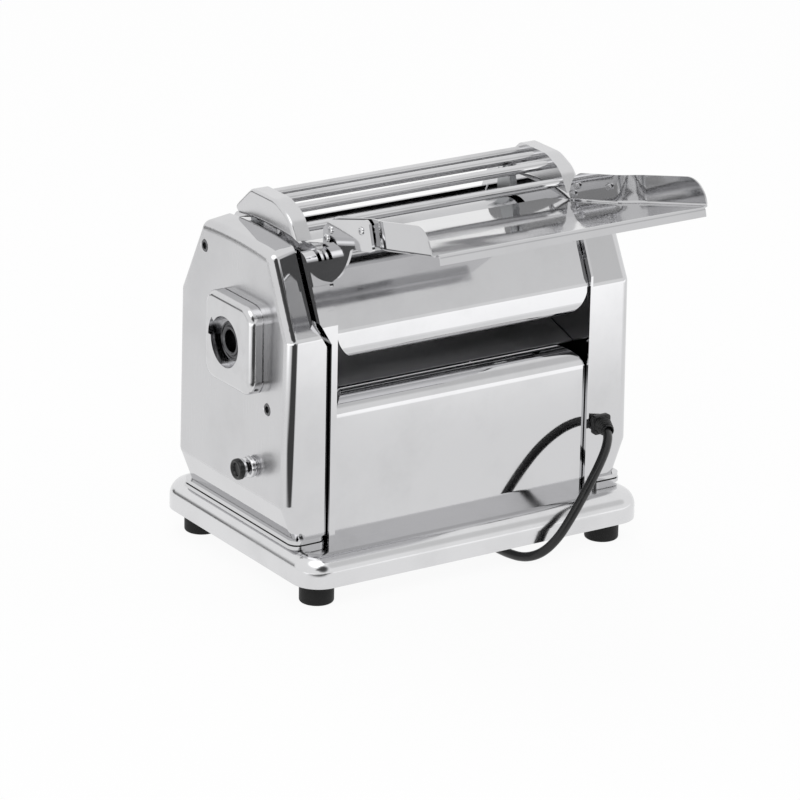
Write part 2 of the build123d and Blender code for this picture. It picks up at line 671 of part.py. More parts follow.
# ---------------------------------------------------------------- rollers, sliding blocks, scrapers

COLLAR_R, COLLAR_END = 12.0, 108.9
JOURNAL_END = 140.0
FRONT_LEFT_END, REAR_LEFT_END = 138.6, 126.0

for name, y, left_end in (
    ("front_roller", FRONT_Y, FRONT_LEFT_END),
    ("rear_roller", REAR_Y, REAR_LEFT_END),
):
    with BuildPart() as roller:
        add(rod_x(-ROLLER_HALF, ROLLER_HALF, y, ROLLER_Z, ROLLER_R))
        add(rod_x(-COLLAR_END, COLLAR_END, y, ROLLER_Z, COLLAR_R))
        add(rod_x(-left_end, JOURNAL_END, y, ROLLER_Z, JOURNAL_R))
    save(roller, name)

BLOCK_IN, BLOCK_OUT = FRAME_IN + 0.5, HEAD_OUT - 0.5

with BuildPart() as bearing_blocks:
    for side in (-1, 1):
        low, high = sorted((side * BLOCK_IN, side * BLOCK_OUT))
        add(
            box_between(
                (low, REAR_Y - BUSH_R, ROLLER_Z - BLOCK_HALF),
                (high, REAR_Y + BUSH_R, ROLLER_Z + BLOCK_HALF),
            )
        )
        add(
            box_between(
                (low, TAIL_LOW, TAIL_FOOT + GAP), (high, TAIL_HIGH, ROLLER_Z - BLOCK_HALF)
            )
        )
        bore = rod_x(low, high, REAR_Y, ROLLER_Z, JOURNAL_R + RUNNING)
        add(bore, mode=Mode.SUBTRACT)
save(bearing_blocks, "bearing_blocks")

SCRAPER_GAP = 0.3
BLADE_ANGLE = math.radians(75.0)
BEAM_IN, BEAM_OUT, BEAM_LOW, BEAM_TOP = 28.0, 34.0, 181.0, 187.0
tip_reach = ROLLER_R + SCRAPER_GAP
TIP_Y = -FRONT_Y - tip_reach * math.cos(BLADE_ANGLE)
TIP_Z = ROLLER_Z - tip_reach * math.sin(BLADE_ANGLE)


def scraper(direction, reach):
    """A blade that lies against the underside of a roller, with its cross beam."""
    with BuildPart() as blade:
        with BuildSketch(side_plane(-reach)):
            add(
                filled(
                    (direction * TIP_Y, TIP_Z),
                    (direction * BEAM_OUT, BEAM_TOP),
                    (direction * BEAM_OUT, BEAM_LOW),
                    (direction * BEAM_IN, BEAM_LOW),
                    (direction * BEAM_IN, BEAM_TOP - 1.0),
                    (direction * (TIP_Y - 0.9), TIP_Z - 1.2),
                )
            )
        extrude(amount=2 * reach)
    return blade.part


with BuildPart() as front_scraper:
    add(scraper(-1, FRAME_IN))
save(front_scraper, "front_scraper")

with BuildPart() as rear_scraper:
    add(scraper(1, BLOCK_IN))
    for side in (-1, 1):
        low, high = sorted((side * (ROLLER_HALF + 1.0), side * BLOCK_IN))
        relief = box_between((low, 0.0, BEAM_TOP), (high, BEAM_OUT, ROLLER_Z))
        add(relief, mode=Mode.SUBTRACT)
save(rear_scraper, "rear_scraper")

# ---------------------------------------------------------------- thickness adjuster


def cam_outline():
    """A cam that falls from CAM_MAX by GAP_TRAVEL over CAM_SWEEP, then climbs back."""
    steps = 45
    points = []
    for step in range(steps):
        turned = 360.0 * step / steps
        if turned <= CAM_SWEEP:
            radius = CAM_MAX - GAP_TRAVEL * turned / CAM_SWEEP
        else:
            climb = (turned - CAM_SWEEP) / (360.0 - CAM_SWEEP)
            radius = CAM_MAX - GAP_TRAVEL * (1.0 + math.cos(math.pi * climb)) / 2
        angle = math.pi - math.radians(turned)
        points.append((radius * math.cos(angle), radius * math.sin(angle)))
    with BuildSketch(Plane.XY) as cam:
        with BuildLine():
            Spline(*points, periodic=True)
        make_face()
    return cam.sketch


CAM_X = (111.0, 123.0)
ADJUSTER_X = (-127.0, 161.5)

with BuildPart() as adjuster_shaft:
    add(rod_x(*ADJUSTER_X, CAM_Y, CAM_Z, ADJUSTER_R))
    for side in (-1, 1):
        low, high = sorted((side * CAM_X[0], side * CAM_X[1]))
        with BuildSketch(side_plane(low)):
            with Locations((CAM_Y, CAM_Z)):
                add(cam_outline())
        extrude(amount=high - low)
save(adjuster_shaft, "adjuster_shaft")

KNOB_BACK, KNOB_SKIRT = 151.4, 4.0
GRIP_COUNT = 18

with BuildPart() as thickness_knob:
    with BuildSketch(side_plane(KNOB_BACK)):
        with Locations((CAM_Y, CAM_Z)):
            Circle(KNOB_R)
    extrude(amount=KNOB_FACE - KNOB_BACK)
    fillet(thickness_knob.faces().sort_by(Axis.X)[-1].edges(), 2.5)
    with BuildSketch(side_plane(KNOB_BACK + KNOB_SKIRT)):
        with Locations((CAM_Y, CAM_Z)):
            with PolarLocations(KNOB_R + 0.8, GRIP_COUNT):
                Circle(1.9)
    extrude(amount=KNOB_FACE, mode=Mode.SUBTRACT)
    bore = rod_x(KNOB_BACK, ADJUSTER_X[1], CAM_Y, CAM_Z, ADJUSTER_R)
    add(bore, mode=Mode.SUBTRACT)
save(thickness_knob, "thickness_knob")

with BuildPart() as dial_plate:
    with BuildSketch(cover_plane(1, CAM_Y, CAM_Z)):
        Circle(KNOB_R + 9.0)
        Circle(ADJUSTER_R + 2.0, mode=Mode.SUBTRACT)
    extrude(amount=1.2)
save(dial_plate, "dial_plate")

# ---------------------------------------------------------------- guard

CHEEK_BORE_END, PIN_R = 118.6, 3.0
BAR_SEAT = 5.0

CHEEK_TOE, CHEEK_HEEL, CHEEK_RIM = (-44.6, 261.3), (34.0, 260.5), 2.6
CHEEK_ROUNDS = (
    ((-34.2, 276.8), 22.0),
    ((-16.5, GUARD_TOP), 26.0),
    ((17.5, GUARD_TOP), 9.0),
    ((34.5, 270.0), 3.0),
    ((PIVOT_Y + PIVOT_R, PIVOT_Z), 3.0),
)

with BuildSketch(Plane.XY) as cheek_outline:
    with BuildLine():
        Polyline(CHEEK_TOE, *[corner for corner, _ in CHEEK_ROUNDS], CHEEK_HEEL)
        ThreePointArc(CHEEK_HEEL, (-3.0, 263.2), CHEEK_TOE)
    make_face()
    for corner, radius in CHEEK_ROUNDS:
        fillet(cheek_outline.vertices().sort_by_distance(Vector(*corner))[0], radius)

for side, name in ((-1, "left"), (1, "right")):
    with BuildPart() as cheek:
        low, high = sorted((side * GUARD_IN, side * GUARD_OUT))
        with BuildSketch(side_plane(low)):
            add(cheek_outline.sketch)
        extrude(amount=high - low)
        outside = cheek.faces().sort_by(Axis.X)[0 if side < 0 else -1]
        fillet(outside.edges(), CHEEK_RIM)
        pin_low, pin_high = sorted((side * GUARD_IN, side * CHEEK_BORE_END))
        add(rod_x(pin_low, pin_high, PIVOT_Y, PIVOT_Z, PIN_R + RUNNING), mode=Mode.SUBTRACT)
        bar_low, bar_high = sorted((side * GUARD_IN, side * (GUARD_IN + BAR_SEAT)))
        for y, z in BARS:
            add(rod_x(bar_low, bar_high, y, z, BAR_R), mode=Mode.SUBTRACT)
    save(cheek, f"guard_cheek_{name}")

with BuildPart() as guard_bars:
    for y, z in BARS:
        add(rod_x(-GUARD_IN - BAR_SEAT, GUARD_IN + BAR_SEAT, y, z, BAR_R))
save(guard_bars, "guard_bars")

BRACKET_IN, PIN_HEAD = 106.6, 1.6
SENSOR_LOW, SENSOR_HIGH = (HEAD_OUT, -6.0, 241.0), (138.0, 6.0, 253.5)

with BuildPart() as hinge_brackets:
    for side in (-1, 1):
        low, high = sorted((side * BRACKET_IN, side * FRAME_IN))
        with BuildSketch(side_plane(low)):
            add(
                filled(
                    (24.0, 241.5),
                    (41.0, 241.5),
                    (41.0, PIVOT_Z + 5.0),
                    (30.0, PIVOT_Z + 5.0),
                    (24.0, 252.0),
                    rounds=((2, 4.8), (3, 4.8)),
                )
            )
            with Locations((PIVOT_Y, PIVOT_Z)):
                Circle(PIN_R, mode=Mode.SUBTRACT)
        extrude(amount=high - low)
save(hinge_brackets, "hinge_brackets")

with BuildPart() as guard_hinge_pins:
    for side in (-1, 1):
        low, high = sorted((side * BRACKET_IN, side * (CHEEK_BORE_END - 0.5)))
        add(rod_x(low, high, PIVOT_Y, PIVOT_Z, PIN_R))
        low, high = sorted((side * BRACKET_IN, side * (BRACKET_IN - PIN_HEAD)))
        add(rod_x(low, high, PIVOT_Y, PIVOT_Z, PIN_R + 1.4))
save(guard_hinge_pins, "guard_hinge_pins")

with BuildPart() as guard_rest_posts:
    with BuildSketch(floor_plane(POST_LOW)):
        with Locations((-POST_X, POST_Y), (POST_X, POST_Y)):
            Circle(POST_R)
    extrude(amount=POST_TOP - POST_LOW)
save(guard_rest_posts, "guard_rest_posts")

with BuildPart() as guard_sensor:
    add(box_between(SENSOR_LOW, SENSOR_HIGH))
save(guard_sensor, "guard_sensor")

# ---------------------------------------------------------------- feed tray and its arms

TRAY_TURN = math.radians(TRAY_SLOPE)
TRAY_PLANE = Plane(
    origin=(0, BODY_Y + TRAY_FRONT_Y, TRAY_FRONT_Z),
    x_dir=(1, 0, 0),
    z_dir=(0, math.sin(TRAY_TURN), math.cos(TRAY_TURN)),
)
TRAY_LENGTH = (TRAY_REAR_Y - TRAY_FRONT_Y) / math.cos(TRAY_TURN)
WALL_FRONT, WALL_REAR, WALL_CORNER = 1.0, 155.0, 19.0
TRAY_BEND = 3.0
SIDE_START, SIDE_SWELL, SWELL_HALF = 97.0, 66.0, 111.6
LIP_RUN, LIP_DROP, LIP_BEND, LIP_HALF = 2.6, 6.0, 2.4, 112.0
TRAY_SCREWS = ((-67.1, 274.4), (-61.9, 267.0), (-107.0, 284.6))
SMALL_HOLE_R, SMALL_SCREW_R, SMALL_HEAD_R, SMALL_HEAD, NUT_R, NUT_THICK = 1.6, 1.5, 3.0, 1.4, 2.8, 2.2


def tray_block(inset, front, back):
    """The space that the tray's sheet surrounds, shrunk by inset, from front to back."""
    swell_slope = (TRAY_WIDE - SWELL_HALF) / SIDE_SWELL
    with BuildPart() as block:
        with BuildSketch(TRAY_PLANE.offset(inset)) as outline:
            with BuildLine():
                start = (TRAY_WIDE - inset - swell_slope * front, front)
                swell = Line(start, (SWELL_HALF - inset, SIDE_SWELL))
                narrowing = Spline(
                    swell @ 1,
                    (TRAY_NARROW - inset, SIDE_START),
                    tangents=((-swell_slope, 1), (0, 1)),
                )
                Polyline(narrowing @ 1, (TRAY_NARROW - inset, back), (0, back), (0, front), start)
            make_face()
            mirror(about=Plane.YZ)
        extrude(amount=TRAY_WALL + 5.0)

        def in_tray(shape):
            return TRAY_PLANE.to_local_coords(shape.center())

        lowest = block.faces().sort_by(lambda face: in_tray(face).Z)[0]
        fillet(
            lowest.edges().filter_by(lambda edge: abs(in_tray(edge).X) > TRAY_NARROW / 2),
            TRAY_BEND - inset,
        )
    return block.part


side_view = Plane(origin=TRAY_PLANE.origin, x_dir=TRAY_PLANE.y_dir, z_dir=(1, 0, 0))

with BuildPart() as feed_tray:
    add(tray_block(0, 0, TRAY_LENGTH))
    add(tray_block(THIN, -5.0, TRAY_LENGTH + 5.0), mode=Mode.SUBTRACT)
    with BuildSketch(side_view.offset(-TRAY_WIDE - 1.0)):
        with Locations(((WALL_FRONT + WALL_REAR) / 2, 0)):
            RectangleRounded(WALL_REAR - WALL_FRONT, 2 * TRAY_WALL, WALL_CORNER)
        with Locations((TRAY_LENGTH / 2, THIN / 2)):
            Rectangle(TRAY_LENGTH, THIN)
    extrude(amount=2 * TRAY_WIDE + 2.0, mode=Mode.INTERSECT)
    with BuildSketch(side_view.offset(-LIP_HALF)):
        add(
            ribbon(
                (LIP_RUN, THIN / 2),
                (-LIP_RUN, THIN / 2),
                (-LIP_RUN, -LIP_DROP),
                radius=LIP_BEND,
                thickness=THIN,
            )
        )
    extrude(amount=2 * LIP_HALF)
    for y, z in TRAY_SCREWS:
        add(rod_x(-TRAY_WIDE, TRAY_WIDE, y, z, SMALL_HOLE_R), mode=Mode.SUBTRACT)
save(feed_tray, "feed_tray")

ARM_FOOT_LOW, ARM_FOOT_HIGH, ARM_FOOT_THICK = 234.0, 249.5, 2.0
FRONT_RUN = (FRAME_DEPTH - HEAD_Y) / (HEAD_Z - FRAME_KNEE)  # how far the slant goes back as it climbs
FOOT_REACH = {"left": HEAD_OUT, "right": WRAP_IN - 0.4}
ARM_BOLT_Y, ARM_BOLT_Z = -58.5, 240.5


def frame_front(z, lift):
    """A point on the frame's slanted front edge at height z, moved outwards by lift."""
    length = math.hypot(1.0, FRONT_RUN)
    y = -FRAME_DEPTH + (z - FRAME_KNEE) * FRONT_RUN
    return (y - lift / length, z + lift * FRONT_RUN / length)


with BuildSketch(Plane.XY) as arm_outline:
    with BuildLine():
        sweep_in = ThreePointArc((-93.1, 267.3), (-85.6, 251.0), (-73.4, 238.9))
        Polyline(
            sweep_in @ 1,
            (-67.0, 234.0),
            (-58.0, 232.5),
            (-52.5, 239.0),
            (-52.5, 248.0),
            (-56.5, 257.0),
            (-56.5, 273.0),
            (-66.0, 281.5),
            (-112.0, 294.0),
            (-116.4, 292.0),
            (-122.0, 273.7),
            (-118.5, 272.0),
            sweep_in @ 0,
        )
    make_face()
    for corner, radius in (
        ((-93.1, 267.3), 4.0),
        ((-56.5, 273.0), 4.0),
        ((-66.0, 281.5), 6.0),
        ((-112.0, 294.0), 3.0),
        ((-122.0, 273.7), 1.4),
    ):
        fillet(arm_outline.vertices().sort_by_distance(Vector(*corner))[0], radius)

for side, name in ((-1, "left"), (1, "right")):
    with BuildPart() as tray_arm:
        low, high = sorted((side * ARM_IN, side * ARM_OUT))
        with BuildSketch(side_plane(low)):
            add(arm_outline.sketch)
        extrude(amount=high - low)
        low, high = sorted((side * ARM_IN, side * FOOT_REACH[name]))
        with BuildSketch(side_plane(low)):
            add(
                filled(
                    frame_front(ARM_FOOT_LOW, 0.0),
                    frame_front(ARM_FOOT_HIGH, 0.0),
                    frame_front(ARM_FOOT_HIGH, ARM_FOOT_THICK),
                    frame_front(ARM_FOOT_LOW, ARM_FOOT_THICK),
                )
            )
        extrude(amount=high - low)
        for y, z in (*TRAY_SCREWS, (ARM_BOLT_Y, ARM_BOLT_Z)):
            low, high = sorted((side * ARM_IN, side * ARM_OUT))
            add(rod_x(low, high, y, z, SMALL_HOLE_R), mode=Mode.SUBTRACT)
    save(tray_arm, f"tray_arm_{name}")

with BuildPart() as tray_screws:
    nut_end = TRAY_NARROW - THIN - NUT_THICK
    for side in (-1, 1):
        for y, z in TRAY_SCREWS:
            add(rod_x(*sorted((side * nut_end, side * ARM_OUT)), y, z, SMALL_SCREW_R))
            head_end = ARM_OUT + SMALL_HEAD
            add(rod_x(*sorted((side * ARM_OUT, side * head_end)), y, z, SMALL_HEAD_R))
            add(rod_x(*sorted((side * nut_end, side * (TRAY_NARROW - THIN))), y, z, NUT_R))
            add(rod_x(*sorted((side * TRAY_NARROW, side * ARM_IN)), y, z, NUT_R))
save(tray_screws, "tray_screws")

with BuildPart() as arm_bolts:
    for side in (-1, 1):
        spot = (ARM_BOLT_Y, ARM_BOLT_Z)
        add(rod_x(*sorted((side * (ARM_IN - NUT_THICK), side * ARM_IN)), *spot, NUT_R))
        add(rod_x(*sorted((side * ARM_IN, side * ARM_OUT)), *spot, SMALL_SCREW_R))
        add(rod_x(*sorted((side * ARM_OUT, side * FRAME_IN)), *spot, SMALL_HEAD_R))
save(arm_bolts, "arm_bolts")

# ---------------------------------------------------------------- aprons, panels and exit slide

APRON_HALF = FRAME_IN - 0.7
APRON_Y, APRON_KNEE, APRON_TOP, APRON_FOOT = 77.0, 200.0, 240.0, 177.6
PANEL_Y, PANEL_LOW, PANEL_TOP = 76.0, BASE_TOP, 150.0
PANEL_ROLL, PANEL_CORNER = 15.0, 18.0
APRON_BEND, APRON_ROLL, APRON_CORNER = 8.0, 10.0, 25.0
ARM_RELIEF, RELIEF_LOW = 103.4, 230.5  # the apron's top corners are cut away around the tray's arms
APRON_HEAD_Y = APRON_Y - (APRON_TOP - APRON_KNEE) * FRONT_RUN


def sheet_across(points, radii, thickness=THIN, half=APRON_HALF):
    """A sheet bent along X, from its edge view."""
    with BuildSketch(Plane.XY) as edge:
        with BuildLine():
            FilletPolyline(*points, radius=radii)
        trace(line_width=thickness)
    with BuildPart() as sheet:
        with BuildSketch(side_plane(-half)):
            add(edge.sketch)
        extrude(amount=2 * half)
    return sheet.part


def keep_corners(low, high, rounded_low, radius):
    """An upright block whose lower or upper corners are rounded, to trim a sheet's corners."""
    rounds = (0, 1) if rounded_low else (2, 3)
    with BuildPart() as block:
        with BuildSketch(front_plane(-FRAME_DEPTH - 5.0)):
            add(
                filled(
                    (-APRON_HALF, low),
                    (APRON_HALF, low),
                    (APRON_HALF, high),
                    (-APRON_HALF, high),
                    rounds=tuple((corner, radius) for corner in rounds),
                )
            )
        extrude(amount=-40.0)
    return block.part


with BuildPart() as front_apron:
    add(
        sheet_across(
            (
                (-APRON_HEAD_Y, APRON_TOP),
                (-APRON_Y, APRON_KNEE),
                (-APRON_Y, APRON_FOOT),
                (-APRON_Y + 14.0, APRON_FOOT),
            ),
            (APRON_BEND, APRON_ROLL),
        )
    )
    add(keep_corners(APRON_FOOT - 1.0, APRON_TOP + 5.0, True, APRON_CORNER), mode=Mode.INTERSECT)
    for side in (-1, 1):
        low, high = sorted((side * ARM_RELIEF, side * FRAME_IN))
        relief = box_between((low, -APRON_Y, RELIEF_LOW), (high, -50.0, APRON_TOP + 1.0))
        add(relief, mode=Mode.SUBTRACT)
save(front_apron, "front_apron")

with BuildPart() as rear_apron:
    add(
        sheet_across(
            ((APRON_HEAD_Y, APRON_TOP), (APRON_Y, APRON_KNEE), (APRON_Y, PANEL_TOP + 1.0)), (APRON_BEND,)
        )
    )
save(rear_apron, "rear_apron")

with BuildPart() as front_panel:
    add(
        sheet_across(
            (
                (-PANEL_Y, PANEL_LOW),
                (-PANEL_Y, PANEL_TOP),
                (-PANEL_Y + PANEL_ROLL + 1.0, PANEL_TOP),
            ),
            (PANEL_ROLL,),
        )
    )
    add(keep_corners(PANEL_LOW, PANEL_TOP + 1.0, False, PANEL_CORNER), mode=Mode.INTERSECT)
save(front_panel, "front_panel")

with BuildPart() as rear_panel:
    sheet = box_between(
        (-APRON_HALF, PANEL_Y - THIN / 2, PANEL_LOW), (APRON_HALF, PANEL_Y + THIN / 2, PANEL_TOP)
    )
    add(sheet)
save(rear_panel, "rear_panel")

SLIDE_FRONT, SLIDE_BACK = (-59.0, 151.5), (34.0, 178.0)

with BuildPart() as exit_slide:
    with BuildSketch(side_plane(-APRON_HALF)) as slide_edge:
        with BuildLine():
            Line(SLIDE_FRONT, SLIDE_BACK)
        trace(line_width=THIN)
    extrude(amount=2 * APRON_HALF)
save(exit_slide, "exit_slide")

# ---------------------------------------------------------------- motor and gearbox

MOTOR_Y, MOTOR_Z, MOTOR_R = 10.0, 95.0, 38.0
MOTOR_X = (GEARBOX_X[1], 50.0)
FIN_COUNT, FIN_DEEP, FIN_GAP = 24, 1.6, 2.0
GEARBOX_LOW, GEARBOX_HIGH = (GEARBOX_X[0], -20.0, 57.0), (GEARBOX_X[1], 42.0, 156.0)
CRADLE_HALF, CRADLE_TOP, CRADLE_FLOOR, RIB_WIDE = 36.0, 76.0, BASE_TOP + 4.0, 15.0
CRADLE_X = (-50.0, 35.0)

with BuildPart() as motor_body:
    add(rod_x(*MOTOR_X, MOTOR_Y, MOTOR_Z, MOTOR_R))
    fillet(motor_body.faces().sort_by(Axis.X)[-1].edges(), 5.0)
    with BuildSketch(side_plane(MOTOR_X[0] + 12.0)):
        with Locations((MOTOR_Y, MOTOR_Z)):
            with PolarLocations(MOTOR_R, FIN_COUNT):
                Rectangle(2 * FIN_DEEP, FIN_GAP)
    extrude(amount=MOTOR_X[1] - MOTOR_X[0] - 30.0, mode=Mode.SUBTRACT)
save(motor_body, "motor_body")

with BuildPart() as gearbox:
    add(box_between(GEARBOX_LOW, GEARBOX_HIGH))
    fillet(gearbox.edges().filter_by(Axis.X), 8.0)
    bore = rod_x(
        GEARBOX_X[0], GEARBOX_X[0] + OUTPUT_DEPTH, OUTPUT_Y, OUTPUT_Z, OUTPUT_R + RUNNING
    )
    add(bore, mode=Mode.SUBTRACT)
save(gearbox, "gearbox")

with BuildPart() as motor_bracket:
    front, back = MOTOR_Y - CRADLE_HALF, MOTOR_Y + CRADLE_HALF
    for low, high, top in (
        (CRADLE_X[0], CRADLE_X[0] + RIB_WIDE, CRADLE_TOP),
        (CRADLE_X[1] - RIB_WIDE, CRADLE_X[1], CRADLE_TOP),
        (*CRADLE_X, CRADLE_FLOOR),
    ):
        add(box_between((low, front, BASE_TOP), (high, back, top)))
    add(rod_x(*MOTOR_X, MOTOR_Y, MOTOR_Z, MOTOR_R), mode=Mode.SUBTRACT)
save(motor_bracket, "motor_bracket")

# ---------------------------------------------------------------- reset button and mains switch

RESET_STEM, RESET_TRAVEL = 3.5, 2.5
RING_BACK, RING_FACE, BUTTON_FACE = 149.9, 155.2, 165.0
BUTTON_BACK = RING_FACE + RESET_TRAVEL + 0.5
BUSHING_END, BUTTON_END = 143.0, 141.0
LOCKNUT, LOCKNUT_WALL = (-147.6, -144.6), 2.6

with BuildPart() as reset_bushing:
    add(rod_x(-RING_FACE, -RING_BACK, RESET_Y, RESET_Z, RESET_R))
    chamfer(reset_bushing.faces().sort_by(Axis.X)[0].edges(), 1.0)
    add(rod_x(-RING_BACK, -BUSHING_END, RESET_Y, RESET_Z, RESET_NECK))
    add(rod_x(*LOCKNUT, RESET_Y, RESET_Z, RESET_NECK + LOCKNUT_WALL))
    bore = rod_x(-RING_FACE, -BUSHING_END, RESET_Y, RESET_Z, RESET_STEM + RUNNING)
    add(bore, mode=Mode.SUBTRACT)
save(reset_bushing, "reset_bushing")

with BuildPart() as reset_button:
    add(rod_x(-BUTTON_FACE, -BUTTON_BACK, RESET_Y, RESET_Z, RESET_R - 0.2))
    fillet(reset_button.faces().sort_by(Axis.X)[0].edges(), 2.5)
    add(rod_x(-BUTTON_BACK, -BUTTON_END, RESET_Y, RESET_Z, RESET_STEM))
save(reset_button, "reset_button")

BEZEL_W, BEZEL_H, BEZEL_THICK, BEZEL_DEEP = 21.0, 29.0, 2.0, 13.0
ROCKER_W, WELL_W, WELL_H = 13.6, 14.6, 22.0
ROCKER_HALF, ROCKER_LIFT, ROCKER_TILT = 9.6, 6.2, 8.0
AXLE_R, AXLE_SINK = 1.5, 3.5
switch_plane = cover_plane(1, SWITCH_Y, SWITCH_Z)
axle_middle = switch_plane.offset(-AXLE_SINK).origin

with BuildPart() as switch_bezel:
    with BuildSketch(switch_plane):
        RectangleRounded(BEZEL_W, BEZEL_H, 2.0)
    extrude(amount=BEZEL_THICK)
    with BuildSketch(switch_plane):
        Rectangle(SWITCH_W - 0.2, SWITCH_H - 0.2)
    extrude(amount=-BEZEL_DEEP)
    with BuildSketch(switch_plane.offset(BEZEL_THICK)):
        Rectangle(WELL_W, WELL_H)
    extrude(amount=-BEZEL_THICK - BEZEL_DEEP + 2.0, mode=Mode.SUBTRACT)
    with BuildSketch(Plane(origin=axle_middle, x_dir=(1, 0, 0), z_dir=(0, -1, 0))):
        Circle(AXLE_R + RUNNING)
    extrude(amount=WELL_W / 2 + 0.8, both=True, mode=Mode.SUBTRACT)
save(switch_bezel, "switch_bezel")

off_turn = math.radians(ROCKER_TILT)
off_plane = Plane(
    origin=axle_middle, x_dir=(math.cos(off_turn), 0, -math.sin(off_turn)), z_dir=(0, -1, 0)
)

with BuildPart() as switch_rocker:
    with BuildSketch(off_plane):
        add(
            filled(
                (-2.4, -7.0),
                (ROCKER_LIFT, -ROCKER_HALF),
                (ROCKER_LIFT - 1.2, 0.0),
                (ROCKER_LIFT, ROCKER_HALF),
                (-2.4, 7.0),
            )
        )
    extrude(amount=ROCKER_W / 2, both=True)
    with BuildSketch(off_plane):
        Circle(AXLE_R)
    extrude(amount=WELL_W / 2 + 0.6, both=True)
save(switch_rocker, "switch_rocker")

# ---------------------------------------------------------------- cord gland

GLAND_FACE, DOME_BACK, MOUTH = -COVER_DEPTH, -COVER_DEPTH - 2.6, -88.5
DOME_R, MOUTH_R, STEM_RUN, LOCK_WALL, LOCK_RUN = 6.7, CORD_R + 1.6, 8.0, 3.0, 4.0
CORD_START = (GLAND_X, -78.0, GLAND_Z)
CORD_FIRST_BEND = (121.6, -91.4, 87.9)  # the cord already leans as it leaves the gland
cord_lean = Vector(*CORD_FIRST_BEND) - Vector(*CORD_START)
mouth_spot = Vector(*CORD_START) + cord_lean * ((MOUTH - CORD_START[1]) / cord_lean.Y)

with BuildPart() as cord_gland:
    with BuildSketch(front_plane(GLAND_FACE)):
        with Locations((GLAND_X, GLAND_Z)):
            RectangleRounded(GLAND_SIDE, GLAND_SIDE, 2.0)
    extrude(amount=GLAND_FACE - DOME_BACK)
    with BuildSketch(front_plane(DOME_BACK)):
        with Locations((GLAND_X, GLAND_Z)):
            Circle(DOME_R)
    with BuildSketch(front_plane(MOUTH)):
        with Locations((mouth_spot.X, mouth_spot.Z)):
            Circle(MOUTH_R)
    loft()
    with BuildSketch(front_plane(GLAND_FACE)):
        with Locations((GLAND_X, GLAND_Z)):
            Circle(GLAND_STEM)
    extrude(amount=-STEM_RUN)
    with BuildSketch(front_plane(GLAND_FACE + SHEET + 0.1)):
        with Locations((GLAND_X, GLAND_Z)):
            RegularPolygon(GLAND_STEM + LOCK_WALL, 6)
    extrude(amount=-LOCK_RUN)
    with BuildSketch(front_plane(CORD_START[1])):
        with Locations((GLAND_X, GLAND_Z)):
            Circle(CORD_R)
    extrude(amount=-STEM_RUN - LOCK_RUN, mode=Mode.SUBTRACT)
    with BuildSketch(Plane(origin=Vector(*CORD_START) + Vector(0, BODY_Y, 0), z_dir=cord_lean)):
        Circle(CORD_R)
    extrude(amount=cord_lean.length, mode=Mode.SUBTRACT)
save(cord_gland, "cord_gland")

# ---------------------------------------------------------------- mains cord, coil and plug

COIL_TUBE = 2 * CORD_R
COIL_IN, COIL_OUT, COIL_HIGH = COIL_R - 1.57 * COIL_TUBE, COIL_R + 1.57 * COIL_TUBE, 14.3
PLUG_X, PLUG_Y, BOOT_R, BOOT_RUN, PLUG_RUN = 98.0, 209.0, 5.2, 14.0, 34.0
PIN_RADIUS, PIN_LENGTH, PIN_SPACING = 2.4, 19.0, 19.0

CORD_ROUTE = (
    CORD_START,
    CORD_FIRST_BEND,
    (112.8, -102.5, 81.3),
    (102.5, -109.0, 72.0),
    (92.0, -113.0, 61.0),
    (82.0, -115.0, 48.5),
    (72.0, -116.0, 35.5),
    (62.0, -115.5, 22.5),
    (52.5, -110.3, 11.2),
    (45.0, -99.0, 4.8),
    (41.0, -83.0, CORD_R),
    (39.5, -61.0, CORD_R),
    (35.0, -25.0, CORD_R),
    (23.0, 20.0, CORD_R),
    (8.0, 65.0, CORD_R),
    (-7.0, 105.0, CORD_R),
    (-16.0, 135.0, CORD_R),
    (-18.0, 160.0, CORD_R + 0.2),
)
TAIL_ROUTE = (
    (46.0, 211.5, 7.2),
    (56.0, 211.4, 8.0),
    (66.0, 210.8, 11.8),
    (75.0, 209.8, 16.9),
    (PLUG_X - BOOT_RUN, PLUG_Y, PLUG_R),
)


def cord_tube(route):
    """A round cord along straight runs joined by the largest arcs that fit them."""
    points = [Vector(x, BODY_Y + y, z) for x, y, z in route]
    radii = []
    for before, here, after in zip(points, points[1:], points[2:]):
        come, leave = here - before, after - here
        half_turn = math.radians(come.get_angle(leave)) / 2
        radii.append(0.45 * min(come.length, leave.length) / math.tan(half_turn))
    with BuildPart() as tube:
        with BuildLine() as path:
            FilletPolyline(*points, radius=radii)
        with BuildSketch(Plane(origin=path.line @ 0, z_dir=path.line % 0)):
            Circle(CORD_R)
        sweep(path=path.line)
    return tube.part


with BuildPart() as power_cord:
    add(cord_tube(CORD_ROUTE))
save(power_cord, "power_cord")

with BuildPart() as cord_coil:
    with BuildSketch(floor_plane(0)):
        with Locations((COIL_X, COIL_Y)):
            Circle(COIL_OUT)
            Circle(COIL_IN, mode=Mode.SUBTRACT)
    extrude(amount=COIL_HIGH)
    fillet(cord_coil.edges().filter_by(GeomType.CIRCLE), 2.5)
save(cord_coil, "cord_coil")

with BuildPart() as cord_tail:
    add(cord_tube(TAIL_ROUTE))
save(cord_tail, "cord_tail")

